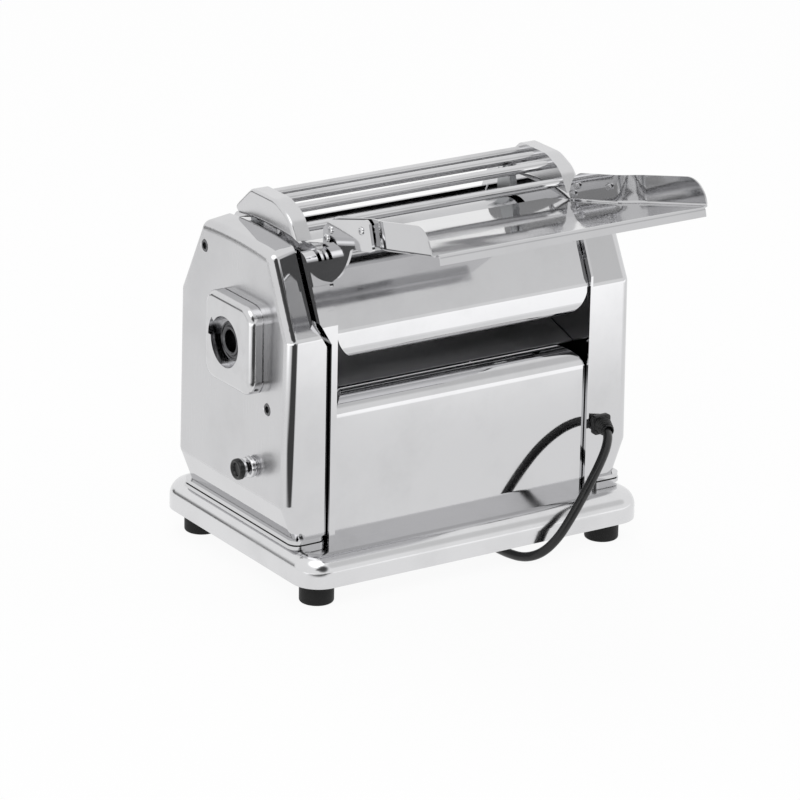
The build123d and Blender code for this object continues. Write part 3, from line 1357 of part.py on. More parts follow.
with BuildPart() as plug_body:
    centre = (PLUG_X, BODY_Y + PLUG_Y, PLUG_R)
    with BuildSketch(Plane(origin=centre, x_dir=(1, 0, 0), z_dir=(0, -1, 0))):
        with BuildLine():
            boot = Polyline((-BOOT_RUN, 0), (-BOOT_RUN, BOOT_R), (0, BOOT_R + 3.0))
            shoulder = Spline(
                boot @ 1, (12.0, PLUG_R - 1.0), (20.0, PLUG_R), tangents=((1, 0.9), (1, 0))
            )
            Polyline(shoulder @ 1, (PLUG_RUN, PLUG_R), (PLUG_RUN, 0), (-BOOT_RUN, 0))
        make_face()
    revolve(axis=Axis(centre, (1, 0, 0)))
    with BuildSketch(Plane.YZ.offset(PLUG_X + PLUG_RUN)):
        with Locations((BODY_Y + PLUG_Y - PIN_SPACING / 2, PLUG_R)):
            Circle(PIN_RADIUS)
        with Locations((BODY_Y + PLUG_Y + PIN_SPACING / 2, PLUG_R)):
            Circle(PIN_RADIUS)
    extrude(amount=-8.0, mode=Mode.SUBTRACT)
save(plug_body, "plug_body")

with BuildPart() as plug_pins:
    for offset_y in (-PIN_SPACING / 2, PIN_SPACING / 2):
        low, high = PLUG_X + PLUG_RUN - 8.0, PLUG_X + PLUG_RUN + PIN_LENGTH
        add(rod_x(low, high, PLUG_Y + offset_y, PLUG_R, PIN_RADIUS))
    fillet(plug_pins.faces().sort_by(Axis.X)[-2:].edges(), 1.0)
save(plug_pins, "plug_pins")
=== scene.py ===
"""The looks of an electric pasta maker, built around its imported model.

Each sub-assembly is a class that builds its meshes and dresses them, and each finish is a frozen
dataclass that makes its own material. Lengths are in metres; points written in millimetres from
the middle of the body go through place().
"""

import logging
import math
from collections.abc import Sequence
from dataclasses import dataclass
from enum import Enum

import bmesh
import bpy
from mathutils import Matrix, Vector


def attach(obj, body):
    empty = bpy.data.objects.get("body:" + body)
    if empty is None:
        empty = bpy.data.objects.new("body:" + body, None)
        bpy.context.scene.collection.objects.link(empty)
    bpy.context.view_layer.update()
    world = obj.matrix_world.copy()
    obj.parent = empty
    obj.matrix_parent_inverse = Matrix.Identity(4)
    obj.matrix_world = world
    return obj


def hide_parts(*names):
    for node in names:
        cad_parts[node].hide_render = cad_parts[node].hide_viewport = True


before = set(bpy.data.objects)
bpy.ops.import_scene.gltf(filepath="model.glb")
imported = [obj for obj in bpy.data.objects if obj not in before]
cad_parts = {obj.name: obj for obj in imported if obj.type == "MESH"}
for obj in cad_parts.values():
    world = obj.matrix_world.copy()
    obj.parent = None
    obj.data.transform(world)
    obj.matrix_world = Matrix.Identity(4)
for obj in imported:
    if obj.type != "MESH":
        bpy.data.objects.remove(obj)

LOG = logging.getLogger("pasta_maker")
MM = 0.001
BODY_Y = 54.0  # the middle of the body stands this far behind the middle of the outline
DIAL_AT = (44.45, 190.0)  # the depth and height of the thickness dial's middle
SIDE_X, SIDE_Z = 150.0, 72.4  # a leaning side face stands this far out at this height
SIDE_IN, SIDE_RISE = 2.5, 182.1  # and comes in by the first over a rise of the second
SIDE_LEAN = SIDE_IN / SIDE_RISE
SMOOTH_TO = 38.0  # degrees: a sharper edge is shaded as an edge
CORNER_STEPS = 6  # faces round the corner of a plate
FASTENER_STEPS = 36  # faces round a small fastener
SIX = True  # marks a hexagonal ring of a turned profile

LEFTWARDS, RIGHTWARDS = Vector((-1, 0, 0)), Vector((1, 0, 0))
FORWARDS, UPWARDS = Vector((0, -1, 0)), Vector((0, 0, 1))
WHITE = (1.0, 1.0, 1.0, 1.0)

Colour = tuple[float, float, float]
Point = tuple[float, float, float]
Band = tuple[float, float]
Number = "Field | float"


class Axis(Enum):
    """An axis of the object's frame."""

    X = 0
    Y = 1
    Z = 2


class Side(Enum):
    """An end of the machine, by the sign of its X."""

    LEFT = -1
    RIGHT = 1


class RockerFace(Enum):
    """A face of the mains switch's rocker, by the sign of its height."""

    UPPER = 1
    LOWER = -1


def place(x: float, y: float, z: float) -> Vector:
    """A point in metres, from millimetres with its depth taken from the middle of the body."""
    return Vector((x, y + BODY_Y, z)) * MM


def side_face(side: Side, y: float, z: float) -> Vector:
    """The point of a leaning side face at a depth and a height in mm."""
    return place(side.value * (SIDE_X - (z - SIDE_Z) * SIDE_LEAN), y, z)


def side_out(side: Side) -> Vector:
    """The way that a leaning side face looks."""
    return Vector((side.value * SIDE_RISE, 0.0, SIDE_IN)).normalized()


# ---------------------------------------------------------------- node building


class Field:
    """A shader socket that takes part in Python sums."""

    def __init__(self, graph: "Graph", socket: bpy.types.NodeSocket) -> None:
        """Keeps the socket and the graph that its sums are added to."""
        self.graph = graph
        self.socket = socket

    def _math(self, operation: str, *values: "Number") -> "Field":
        """A Math node on these values.

        Args:
            operation: the node's operation.
            *values: its inputs, in order.

        Returns:
            The node's result.
        """
        node = self.graph.node("ShaderNodeMath", {"operation": operation}, dict(enumerate(values)))
        return Field(self.graph, node.outputs[0])

    def __add__(self, other: "Number") -> "Field":
        """self + other."""
        return self._math("ADD", self, other)

    def __radd__(self, other: "Number") -> "Field":
        """other + self."""
        return self._math("ADD", other, self)

    def __sub__(self, other: "Number") -> "Field":
        """self - other."""
        return self._math("SUBTRACT", self, other)

    def __rsub__(self, other: "Number") -> "Field":
        """other - self."""
        return self._math("SUBTRACT", other, self)

    def __mul__(self, other: "Number") -> "Field":
        """self * other."""
        return self._math("MULTIPLY", self, other)

    def __rmul__(self, other: "Number") -> "Field":
        """other * self."""
        return self._math("MULTIPLY", other, self)

    def sine(self) -> "Field":
        """The sine of the value."""
        return self._math("SINE", self)

    def cosine(self) -> "Field":
        """The cosine of the value."""
        return self._math("COSINE", self)

    def size(self) -> "Field":
        """The value without its sign."""
        return self._math("ABSOLUTE", self)

    def band(self, low: float, high: float) -> "Field":
        """A smooth step from 0 at low to 1 at high."""
        node = self.graph.node(
            "ShaderNodeMapRange",
            {"interpolation_type": "SMOOTHSTEP"},
            {"Value": self, "From Min": low, "From Max": high},
        )
        return Field(self.graph, node.outputs[0])


class Graph:
    """A node tree under construction."""

    def __init__(self, tree: bpy.types.NodeTree) -> None:
        """Starts with an empty tree."""
        self.tree = tree
        tree.nodes.clear()

    def feed(self, socket: bpy.types.NodeSocket, value: object) -> None:
        """Gives a socket its value.

        Args:
            socket: the input socket.
            value: a field or an output socket to link, or a plain value.
        """
        if isinstance(value, Field):
            value = value.socket
        if isinstance(value, bpy.types.NodeSocket):
            self.tree.links.new(value, socket)
        else:
            socket.default_value = value

    def node(
        self, kind: str, settings: dict | None = None, inputs: dict | None = None
    ) -> bpy.types.Node:
        """Adds a node.

        Args:
            kind: the node's type.
            settings: its settings, which are set first.
            inputs: values or links by socket name or number.

        Returns:
            The new node.
        """
        made = self.tree.nodes.new(kind)
        for name, value in (settings or {}).items():
            setattr(made, name, value)
        for name, value in (inputs or {}).items():
            self.feed(made.inputs[name], value)
        return made

    def field(
        self, kind: str, output: str | int, settings: dict | None = None, inputs: dict | None = None
    ) -> Field:
        """Adds a node and gives one of its outputs."""
        return Field(self, self.node(kind, settings, inputs).outputs[output])

    def where(self) -> Field:
        """The point on the piece, in its own metres."""
        return self.field("ShaderNodeTexCoord", "Object")

    def stretched(self, scale: Point) -> Field:
        """The point on the piece, scaled along each axis."""
        return self.field("ShaderNodeMapping", 0, {}, {"Vector": self.where(), "Scale": scale})

    def noise(self, at: Field, scale: float, detail: float = 3.0, roughness: float = 0.5) -> Field:
        """Soft noise around 0.5 at the given points."""
        inputs = {"Vector": at, "Scale": scale, "Detail": detail, "Roughness": roughness}
        return self.field("ShaderNodeTexNoise", 0, {"noise_dimensions": "3D"}, inputs)

    def along(self, axis: Axis) -> Field:
        """The point's place along one axis, in metres."""
        return self.field("ShaderNodeSeparateXYZ", axis.value, {}, {0: self.where()})

    def blend(self, factor: Field, first: Colour, second: Colour) -> Field:
        """A colour between two.

        Args:
            factor: 0 for the first, 1 for the second.
            first: the first colour.
            second: the second colour.

        Returns:
            The colour.
        """
        made = self.node("ShaderNodeMix", {"data_type": "RGBA"})
        given = {"Factor": factor, "A": (*first, 1.0), "B": (*second, 1.0)}
        for socket in made.inputs:
            if socket.enabled and socket.name in given:
                self.feed(socket, given[socket.name])
        return Field(self, next(socket for socket in made.outputs if socket.enabled))

    def mixed(
        self, factor: object, first: bpy.types.Node, second: bpy.types.Node
    ) -> bpy.types.Node:
        """A Mix Shader: the first shader at 0, the second at 1."""
        inputs = {0: factor, 1: first.outputs[0], 2: second.outputs[0]}
        return self.node("ShaderNodeMixShader", {}, inputs)

    def bump(self, height: Field, distance: float, under: Field | None = None) -> Field:
        """A bumped normal.

        Args:
            height: the height, about 0 to 1.
            distance: how far 1 stands proud, in metres.
            under: a normal that it lies on.

        Returns:
            The normal.
        """
        inputs = {"Height": height, "Distance": distance, "Strength": 1.0}
        if under is not None:
            inputs["Normal"] = under
        return self.field("ShaderNodeBump", 0, {}, inputs)


# ---------------------------------------------------------------- finishes


def shaded(colour: Colour, factor: float, lift: float = 0.0) -> Colour:
    """The colour times a factor, and lifted by an even amount."""
    return tuple(factor * part + lift for part in colour)


@dataclass(frozen=True)
class Finish:
    """A surface finish. Each kind says what feeds the shader's sockets."""

    name: str
    colour: Colour = (0.8, 0.8, 0.8)
    metallic: float = 1.0

    def sockets(self, graph: Graph) -> dict:
        """The shader's inputs by name."""
        return {"Base Color": (*self.colour, 1.0), "Metallic": self.metallic}

    def material(self) -> bpy.types.Material:
        """The material, made once for each finish.

        Returns:
            The material, with its nodes built.
        """
        for made in bpy.data.materials:
            if made.get("finish") == self.name:
                return made
        made = bpy.data.materials.new(self.name)
        made["finish"] = self.name
        made.use_nodes = True
        graph = Graph(made.node_tree)
        shader = graph.node("ShaderNodeBsdfPrincipled", {}, self.sockets(graph))
        graph.node("ShaderNodeOutputMaterial", {}, {"Surface": shader.outputs[0]})
        return made


@dataclass(frozen=True)
class MirrorSteel(Finish):
    """Polished stainless sheet: faint waves of the press, polishing haze and hairlines."""

    haze: float = 0.035
    smudge: float = 0.05
    smudge_scale: float = 16.0
    hairline: float = 0.03
    hairline_scale: Point = (60.0, 900.0, 900.0)
    wave: float = 0.00022
    wave_scale: float = 9.0
    peel: float = 1.5e-6
    peel_scale: float = 420.0

    def sockets(self, graph: Graph) -> dict:
        """Roughness from haze, smudges and hairlines; the normal from press waves and orange peel.

        Args:
            graph: the material's graph.

        Returns:
            The shader's inputs by name.
        """
        at = graph.where()
        smears = graph.noise(at, self.smudge_scale, 5.0, 0.6).band(0.42, 0.78)
        lines = graph.noise(graph.stretched(self.hairline_scale), 1.0, 2.0).band(0.60, 0.72)
        waves = graph.bump(graph.noise(at, self.wave_scale, 1.0), self.wave)
        return {
            **super().sockets(graph),
            "Base Color": graph.blend(smears, self.colour, shaded(self.colour, 0.93)),
            "Roughness": self.haze + smears * self.smudge + lines * self.hairline,
            "Normal": graph.bump(graph.noise(at, self.peel_scale, 2.0), self.peel, waves),
        }


@dataclass(frozen=True)
class PressedHousing(MirrorSteel):
    """A housing whose flat side face is brushed, and whose rounded edges and walls are polished."""

    brushed: float = 0.19
    brush_scale: Point = (1500.0, 1500.0, 26.0)
    brush_depth: float = 1e-6
    border: tuple[float, float] = (1.4, 0.1)

    def sockets(self, graph: Graph) -> dict:
        """Brush marks and haze where the point lies on the leaning side face.

        Args:
            graph: the material's graph.

        Returns:
            The shader's inputs by name.
        """
        given = super().sockets(graph)
        out = graph.along(Axis.X).size() + (graph.along(Axis.Z) - SIDE_Z * MM) * SIDE_LEAN
        face = out.band(*((SIDE_X - inside) * MM for inside in self.border))
        marks = graph.noise(graph.stretched(self.brush_scale), 1.0, 3.0, 0.6)
        given["Roughness"] = given["Roughness"] + face * (marks * 0.1 + self.brushed)
        given["Normal"] = graph.bump(marks * face, self.brush_depth, given["Normal"])
        return given


@dataclass(frozen=True)
class SatinSteel(Finish):
    """Stainless brushed along one axis."""

    grain: Axis = Axis.Z
    haze: float = 0.24
    rub: float = 4e-6
    across: float = 1400.0
    along: float = 18.0

    def sockets(self, graph: Graph) -> dict:
        """Roughness, colour and normal from long thin brush marks.

        Args:
            graph: the material's graph.

        Returns:
            The shader's inputs by name.
        """
        scale = [self.across] * 3
        scale[self.grain.value] = self.along
        marks = graph.noise(graph.stretched(tuple(scale)), 1.0, 3.0, 0.6)
        cloud = graph.noise(graph.where(), 14.0, 4.0)
        return {
            **super().sockets(graph),
            "Base Color": graph.blend(marks, shaded(self.colour, 0.9), self.colour),
            "Roughness": self.haze + marks * 0.1 + (cloud - 0.5) * 0.08,
            "Normal": graph.bump(marks, self.rub),
        }


@dataclass(frozen=True)
class TurnedSteel(Finish):
    """Round stock ground on a lathe: fine rings along its axis."""

    axis: Axis = Axis.X
    haze: float = 0.09
    ring_scale: float = 2600.0
    ring_depth: float = 3e-6

    def sockets(self, graph: Graph) -> dict:
        """Rings from noise that changes only along the axis.

        Args:
            graph: the material's graph.

        Returns:
            The shader's inputs by name.
        """
        scale = [6.0, 6.0, 6.0]
        scale[self.axis.value] = self.ring_scale
        rings = graph.noise(graph.stretched(tuple(scale)), 1.0, 3.0, 0.7)
        film = graph.noise(graph.where(), 22.0, 4.0).band(0.45, 0.75)
        return {
            **super().sockets(graph),
            "Base Color": graph.blend(film, self.colour, shaded(self.colour, 0.86)),
            "Roughness": self.haze + rings * 0.07 + film * 0.06,
            "Normal": graph.bump(rings, self.ring_depth),
        }


@dataclass(frozen=True)
class CastMetal(Finish):
    """Cast or forged metal: a soft grain, with a film of oil or polish."""

    haze: float = 0.2
    grain: float = 3e-5
    grain_scale: float = 620.0
    stain: float = 0.25
    stain_scale: float = 55.0

    def sockets(self, graph: Graph) -> dict:
        """Grain in the normal, stains in the colour and the roughness.

        Args:
            graph: the material's graph.

        Returns:
            The shader's inputs by name.
        """
        at = graph.where()
        grain = graph.noise(at, self.grain_scale, 4.0, 0.6)
        stains = graph.noise(at, self.stain_scale, 4.0, 0.6).band(0.4, 0.75)
        return {
            **super().sockets(graph),
            "Base Color": graph.blend(stains, self.colour, shaded(self.colour, 1.0 - self.stain)),
            "Roughness": self.haze + grain * 0.08 + stains * 0.12,
            "Normal": graph.bump(grain, self.grain),
        }


@dataclass(frozen=True)
class Moulded(Finish):
    """Moulded rubber or plastic: a fine eroded texture with paler scuffs and settled dust."""

    metallic: float = 0.0
    haze: float = 0.45
    texture: float = 4e-5
    texture_scale: float = 1500.0
    scuff_scale: float = 90.0
    dust: float = 0.06
    gloss: float = 0.22

    def sockets(self, graph: Graph) -> dict:
        """Texture in the normal; scuffs and dust in the colour and the roughness.

        Args:
            graph: the material's graph.

        Returns:
            The shader's inputs by name.
        """
        at = graph.where()
        texture = graph.noise(at, self.texture_scale, 2.0, 0.7)
        scuffs = graph.noise(at, self.scuff_scale, 5.0, 0.7).band(0.52, 0.8)
        return {
            **super().sockets(graph),
            "Base Color": graph.blend(scuffs, self.colour, shaded(self.colour, 1.0, self.dust)),
            "Roughness": self.haze + texture * 0.1 + scuffs * 0.14,
            "Normal": graph.bump(texture, self.texture),
            "Specular IOR Level": self.gloss,
        }


@dataclass(frozen=True)
class SpunDial(Finish):
    """Pale metal dial: rings about its own centre, in depth and height."""

    centre: Point = (0.0, 0.0, 0.0)
    haze: float = 0.3
    ring_pitch: float = 9000.0
    ring_depth: float = 4e-6

    def sockets(self, graph: Graph) -> dict:
        """Rings from the distance to the centre.

        Args:
            graph: the material's graph.

        Returns:
            The shader's inputs by name.
        """
        inputs = {0: graph.where(), 1: self.centre}
        out = graph.field("ShaderNodeVectorMath", "Value", {"operation": "DISTANCE"}, inputs)
        rings = (out * self.ring_pitch).sine() * 0.5 + 0.5
        mottle = graph.noise(graph.where(), 160.0, 4.0)
        return {
            **super().sockets(graph),
            "Base Color": graph.blend(mottle, shaded(self.colour, 0.92), self.colour),
            "Roughness": self.haze + rings * 0.1 + mottle * 0.06,
            "Normal": graph.bump(rings, self.ring_depth),
        }


@dataclass(frozen=True)
class Enamel(Finish):
    """Baked enamel with an orange-peel skin."""

    metallic: float = 0.0
    haze: float = 0.3
    skin: float = 4e-5
    skin_scale: float = 480.0

    def sockets(self, graph: Graph) -> dict:
        """Skin in the normal, handling marks in the roughness.

        Args:
            graph: the material's graph.

        Returns:
            The shader's inputs by name.
        """
        at = graph.where()
        skin = graph.noise(at, self.skin_scale, 2.0)
        marks = graph.noise(at, 40.0, 5.0, 0.7).band(0.45, 0.8)
        return {
            **super().sockets(graph),
            "Base Color": graph.blend(marks, self.colour, shaded(self.colour, 1.25, 0.01)),
            "Roughness": self.haze + marks * 0.2,
            "Coat Weight": 0.3,
            "Normal": graph.bump(skin, self.skin),
        }


STEEL = (0.62, 0.62, 0.63)
POLISHED = MirrorSteel("polished_sheet", STEEL, haze=0.045, smudge=0.03)
POLISHED_FACE = PressedHousing(
    "pressed_housing", STEEL, haze=0.05, smudge=0.03, wave=0.0003, wave_scale=7.0
)
POLISHED_BASE = MirrorSteel(
    "polished_base_sheet", (0.70, 0.70, 0.71), haze=0.13, smudge=0.08, wave=0.0003, wave_scale=10.0
)
# The tray's steel is darker than the other polished sheet: painted shade for its dark inner walls.
POLISHED_TRAY_PAINTED_SHADE = MirrorSteel(
    "polished_tray_sheet",
    (0.56, 0.56, 0.57),
    haze=0.05,
    smudge=0.02,
    wave=0.0006,
    wave_scale=12.0,
    peel=1e-7,
)
SLIDE = SatinSteel("slide_sheet", (0.72, 0.72, 0.73), grain=Axis.X, haze=0.26, rub=1e-6)
SATIN = SatinSteel("satin_steel", (0.66, 0.66, 0.67), haze=0.16, rub=1e-6)
TURNED = TurnedSteel("turned_steel", (0.64, 0.64, 0.65))
ROLLER = TurnedSteel("ground_roller", (0.56, 0.56, 0.57), haze=0.12)
ZINC = SatinSteel("zinc_plate", (0.50, 0.51, 0.52), grain=Axis.X, haze=0.34)
CAST = CastMetal("polished_casting", (0.62, 0.62, 0.63), haze=0.07, grain=1e-5, stain=0.06)
SCREW = TurnedSteel("screw_steel", (0.14, 0.14, 0.145), haze=0.2)
OILED = CastMetal("oiled_gear_steel", (0.30, 0.30, 0.31), haze=0.32)
BLACKENED = CastMetal("blackened_coupling", (0.10, 0.10, 0.105), grain=2e-5, stain=0.3)
BRONZE = CastMetal("sintered_bronze", (0.56, 0.40, 0.21), haze=0.36)
NICKEL = TurnedSteel("nickel_plate", (0.72, 0.69, 0.62), haze=0.16)
RUBBER = Moulded("black_rubber", (0.012, 0.012, 0.012), haze=0.5, dust=0.012)
PLASTIC = Moulded(
    "black_plastic", (0.008, 0.008, 0.0085), haze=0.24, texture=8e-6, dust=0.008, gloss=0.4
)
SHEATH = Moulded(
    "cord_sheath", (0.009, 0.009, 0.0095), haze=0.24, texture=5e-6, dust=0.01, gloss=0.45
)
DIAL = SpunDial("dial_metal", (0.62, 0.62, 0.62), centre=tuple(place(SIDE_X, *DIAL_AT)))
PAINT = Enamel("motor_enamel", (0.055, 0.06, 0.07))
WHITE_INK = Moulded("white_ink", (0.82, 0.82, 0.80), haze=0.5, texture=1e-5, dust=-0.05)
BLACK_INK = Moulded("black_ink", (0.03, 0.03, 0.03), haze=0.5, texture=1e-5, dust=0.02)

CAD_FINISHES: dict[Finish, str] = {
    POLISHED: "front_apron rear_apron front_panel rear_panel left_frame right_frame "
    "tray_arm_left tray_arm_right left_sole_plates right_sole_plates",
    SLIDE: "exit_slide",
    POLISHED_FACE: "left_end_cover right_end_cover",
    POLISHED_BASE: "base_tray",
    POLISHED_TRAY_PAINTED_SHADE: "feed_tray",
    SATIN: "guard_cheek_left guard_cheek_right",
    TURNED: "guard_bars guard_rest_posts guard_hinge_pins tray_screws arm_bolts",
    SCREW: "cover_screws",
    ROLLER: "front_roller rear_roller",
    ZINC: "base_floor_plate foot_screws tie_rods hinge_brackets motor_bracket front_scraper "
    "rear_scraper bearing_blocks",
    CAST: "socket_boss reset_bushing",
    OILED: "drive_pinion drive_gear motor_pinion roller_drive_gear front_sync_gear "
    "rear_sync_gear adjuster_shaft",
    BLACKENED: "drive_shaft",
    BRONZE: "frame_bushes",
    NICKEL: "plug_pins",
    RUBBER: "feet sole_seals",
    PLASTIC: "reset_button switch_bezel switch_rocker cord_gland guard_sensor thickness_knob "
    "plug_body",
    SHEATH: "power_cord cord_coil cord_tail",
    DIAL: "dial_plate",
    PAINT: "motor_body gearbox",
}


def dress_cad() -> None:
    """Gives each carried-over node its finish."""
    for finish, names in CAD_FINISHES.items():
        for name in names.split():
            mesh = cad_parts[name].data
            mesh.materials.clear()
            mesh.materials.append(finish.material())
            LOG.info("dressed %s in %s", name, finish.name)


# ---------------------------------------------------------------- mesh building


def shown(name: str, data: bpy.types.ID) -> bpy.types.Object:
    """A new object in the scene."""
    made = bpy.data.objects.new(name, data)
    bpy.context.scene.collection.objects.link(made)
    return made


def finished(
    name: str, mesh: bpy.types.Mesh, finish: Finish, body: str, slot: str, *nodes: str
) -> bpy.types.Object:
    """Links a mesh as a piece of the object.

    Args:
        name: the piece's name.
        mesh: its mesh, in the object's frame.
        finish: its finish.
        body: the body that it rides on.
        slot: the record's material slot; not used.
        *nodes: the nodes that it stands for.

    Returns:
        The piece.
    """
    if not mesh.materials:
        mesh.materials.append(finish.material())
    mesh.polygons.foreach_set("use_smooth", [True] * len(mesh.polygons))
    mesh.set_sharp_from_angle(angle=math.radians(SMOOTH_TO))
    piece = shown(name, mesh)
    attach(piece, body)
    if nodes:
        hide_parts(*nodes)
    LOG.info("built %s: %d faces on %s", name, len(mesh.polygons), body)
    return piece


def hexagon(turn: float) -> float:
    """How far a hexagon of corner radius 1 reaches at an angle."""
    half = math.pi / 6
    return math.cos(half) / math.cos((turn + half) % (2 * half) - half)


def rings_into(bm: bmesh.types.BMesh, rings: Sequence[Sequence[Vector]]) -> None:
    """Joins rings of points into a skin.

    Args:
        bm: the mesh that gets the skin.
        rings: the rings in order; a ring of one point closes the skin.
    """
    made = [[bm.verts.new(spot) for spot in ring] for ring in rings]
    for first, second in zip(made, made[1:]):
        count = max(len(first), len(second))
        for step in range(count):
            corners = []
            for ring, ahead in ((first, 0), (first, 1), (second, 1), (second, 0)):
                vertex = ring[(step + ahead) % len(ring)]
                if vertex not in corners:
                    corners.append(vertex)
            if len(corners) > 2:
                bm.faces.new(corners)


def lathe_into(
    bm: bmesh.types.BMesh, profile: Sequence[tuple], frame_at: Matrix, steps: int = 60
) -> None:
    """Adds a turned solid to a mesh.

    Args:
        bm: the mesh.
        profile: (radius, run along the axis) in mm, from the axis round to the axis. A third
            value, SIX, makes the ring a hexagon with that corner radius.
        frame_at: where the axis starts; its Z is the axis.
        steps: the faces round a turn, a multiple of six.
    """
    rings = []
    for radius, run, *six in profile:
        if radius < 1e-6:
            rings.append([frame_at @ Vector((0, 0, run * MM))])
            continue
        ring = []
        for step in range(steps):
            turn = math.tau * step / steps
            reach = radius * hexagon(turn) if six else radius
            spot = Vector((reach * math.cos(turn), reach * math.sin(turn), run))
            ring.append(frame_at @ (spot * MM))
        rings.append(ring)
    rings_into(bm, rings)


def plate_into(
    bm: bmesh.types.BMesh, size: Point, corner: float, edge: float, frame_at: Matrix
) -> None:
    """Adds a plate with rounded corners and a softened front edge.

    Args:
        bm: the mesh.
        size: its width, height and thickness in mm.
        corner: the radius of its corners in mm.
        edge: the rounding of its front edge in mm.
        frame_at: the middle of its back; its Z is the way that it faces.
    """
    width, height, thick = size
    profile = [(0.0, 0.0), (0.0, thick - edge)]
    for turn in (0.4, 0.8, 1.2, math.pi / 2):
        profile.append((edge * (1 - math.cos(turn)), thick - edge * (1 - math.sin(turn))))
    rings = [[frame_at @ Vector((0, 0, 0))]]
    for inset, run in profile:
        ring = []
        for quarter, (x, y) in enumerate(((1, 1), (-1, 1), (-1, -1), (1, -1))):
            middle = Vector((x * (width / 2 - corner), y * (height / 2 - corner)))
            for step in range(CORNER_STEPS + 1):
                turn = math.pi / 2 * (quarter + step / CORNER_STEPS)
                spot = middle + Vector((math.cos(turn), math.sin(turn))) * (corner - inset)
                ring.append(frame_at @ (Vector((spot.x, spot.y, run)) * MM))
        rings.append(ring)
    rings.append([frame_at @ Vector((0, 0, thick * MM))])
    rings_into(bm, rings)


def facing(start: Vector, axis: Vector) -> Matrix:
    """A frame at start whose Z looks along axis."""
    return Matrix.Translation(start) @ axis.to_track_quat("Z", "Y").to_matrix().to_4x4()


def mesh_of(bm: bmesh.types.BMesh, name: str) -> bpy.types.Mesh:
    """The mesh with its doubles merged and its faces outwards.

    Args:
        bm: the mesh under construction, which is freed.
        name: the mesh's name.

    Returns:
        The plain mesh.
    """
    bmesh.ops.remove_doubles(bm, verts=bm.verts, dist=1e-7)
    bmesh.ops.recalc_face_normals(bm, faces=bm.faces)
    mesh = bpy.data.meshes.new(name)
    bm.to_mesh(mesh)
    bm.free()
    return mesh


def turned(
    profile: Sequence[tuple], start: Vector, axis: Vector, steps: int = 60
) -> bpy.types.Mesh:
    """A turned solid.

    Args:
        profile: its outline, as for lathe_into.
        start: where its axis starts, in metres.
        axis: the axis's direction.
        steps: the faces round a turn.

    Returns:
        The solid's mesh.
    """
    bm = bmesh.new()
    lathe_into(bm, profile, facing(start, axis), steps)
    return mesh_of(bm, "turned")


def rounded(corners: Sequence[Point], steps: int = 4) -> list[tuple[float, float]]:
    """An open line of (radius, run) points with its corners rounded.

    Args:
        corners: (radius, run, rounding) in mm.
        steps: the points round each corner.

    Returns:
        The points.
    """
    points: list[tuple[float, float]] = []
    for number, (radius, run, rounding) in enumerate(corners):
        here = Vector((radius, run))
        if rounding <= 0 or number in (0, len(corners) - 1):
            points.append((radius, run))
            continue
        before = (Vector(corners[number - 1][:2]) - here).normalized() * rounding
        after = (Vector(corners[number + 1][:2]) - here).normalized() * rounding
        for step in range(steps + 1):
            t = step / steps
            spot = here + before * (1 - t) ** 2 + after * t**2
            points.append((spot.x, spot.y))
    return points


# ---------------------------------------------------------------- what repeats


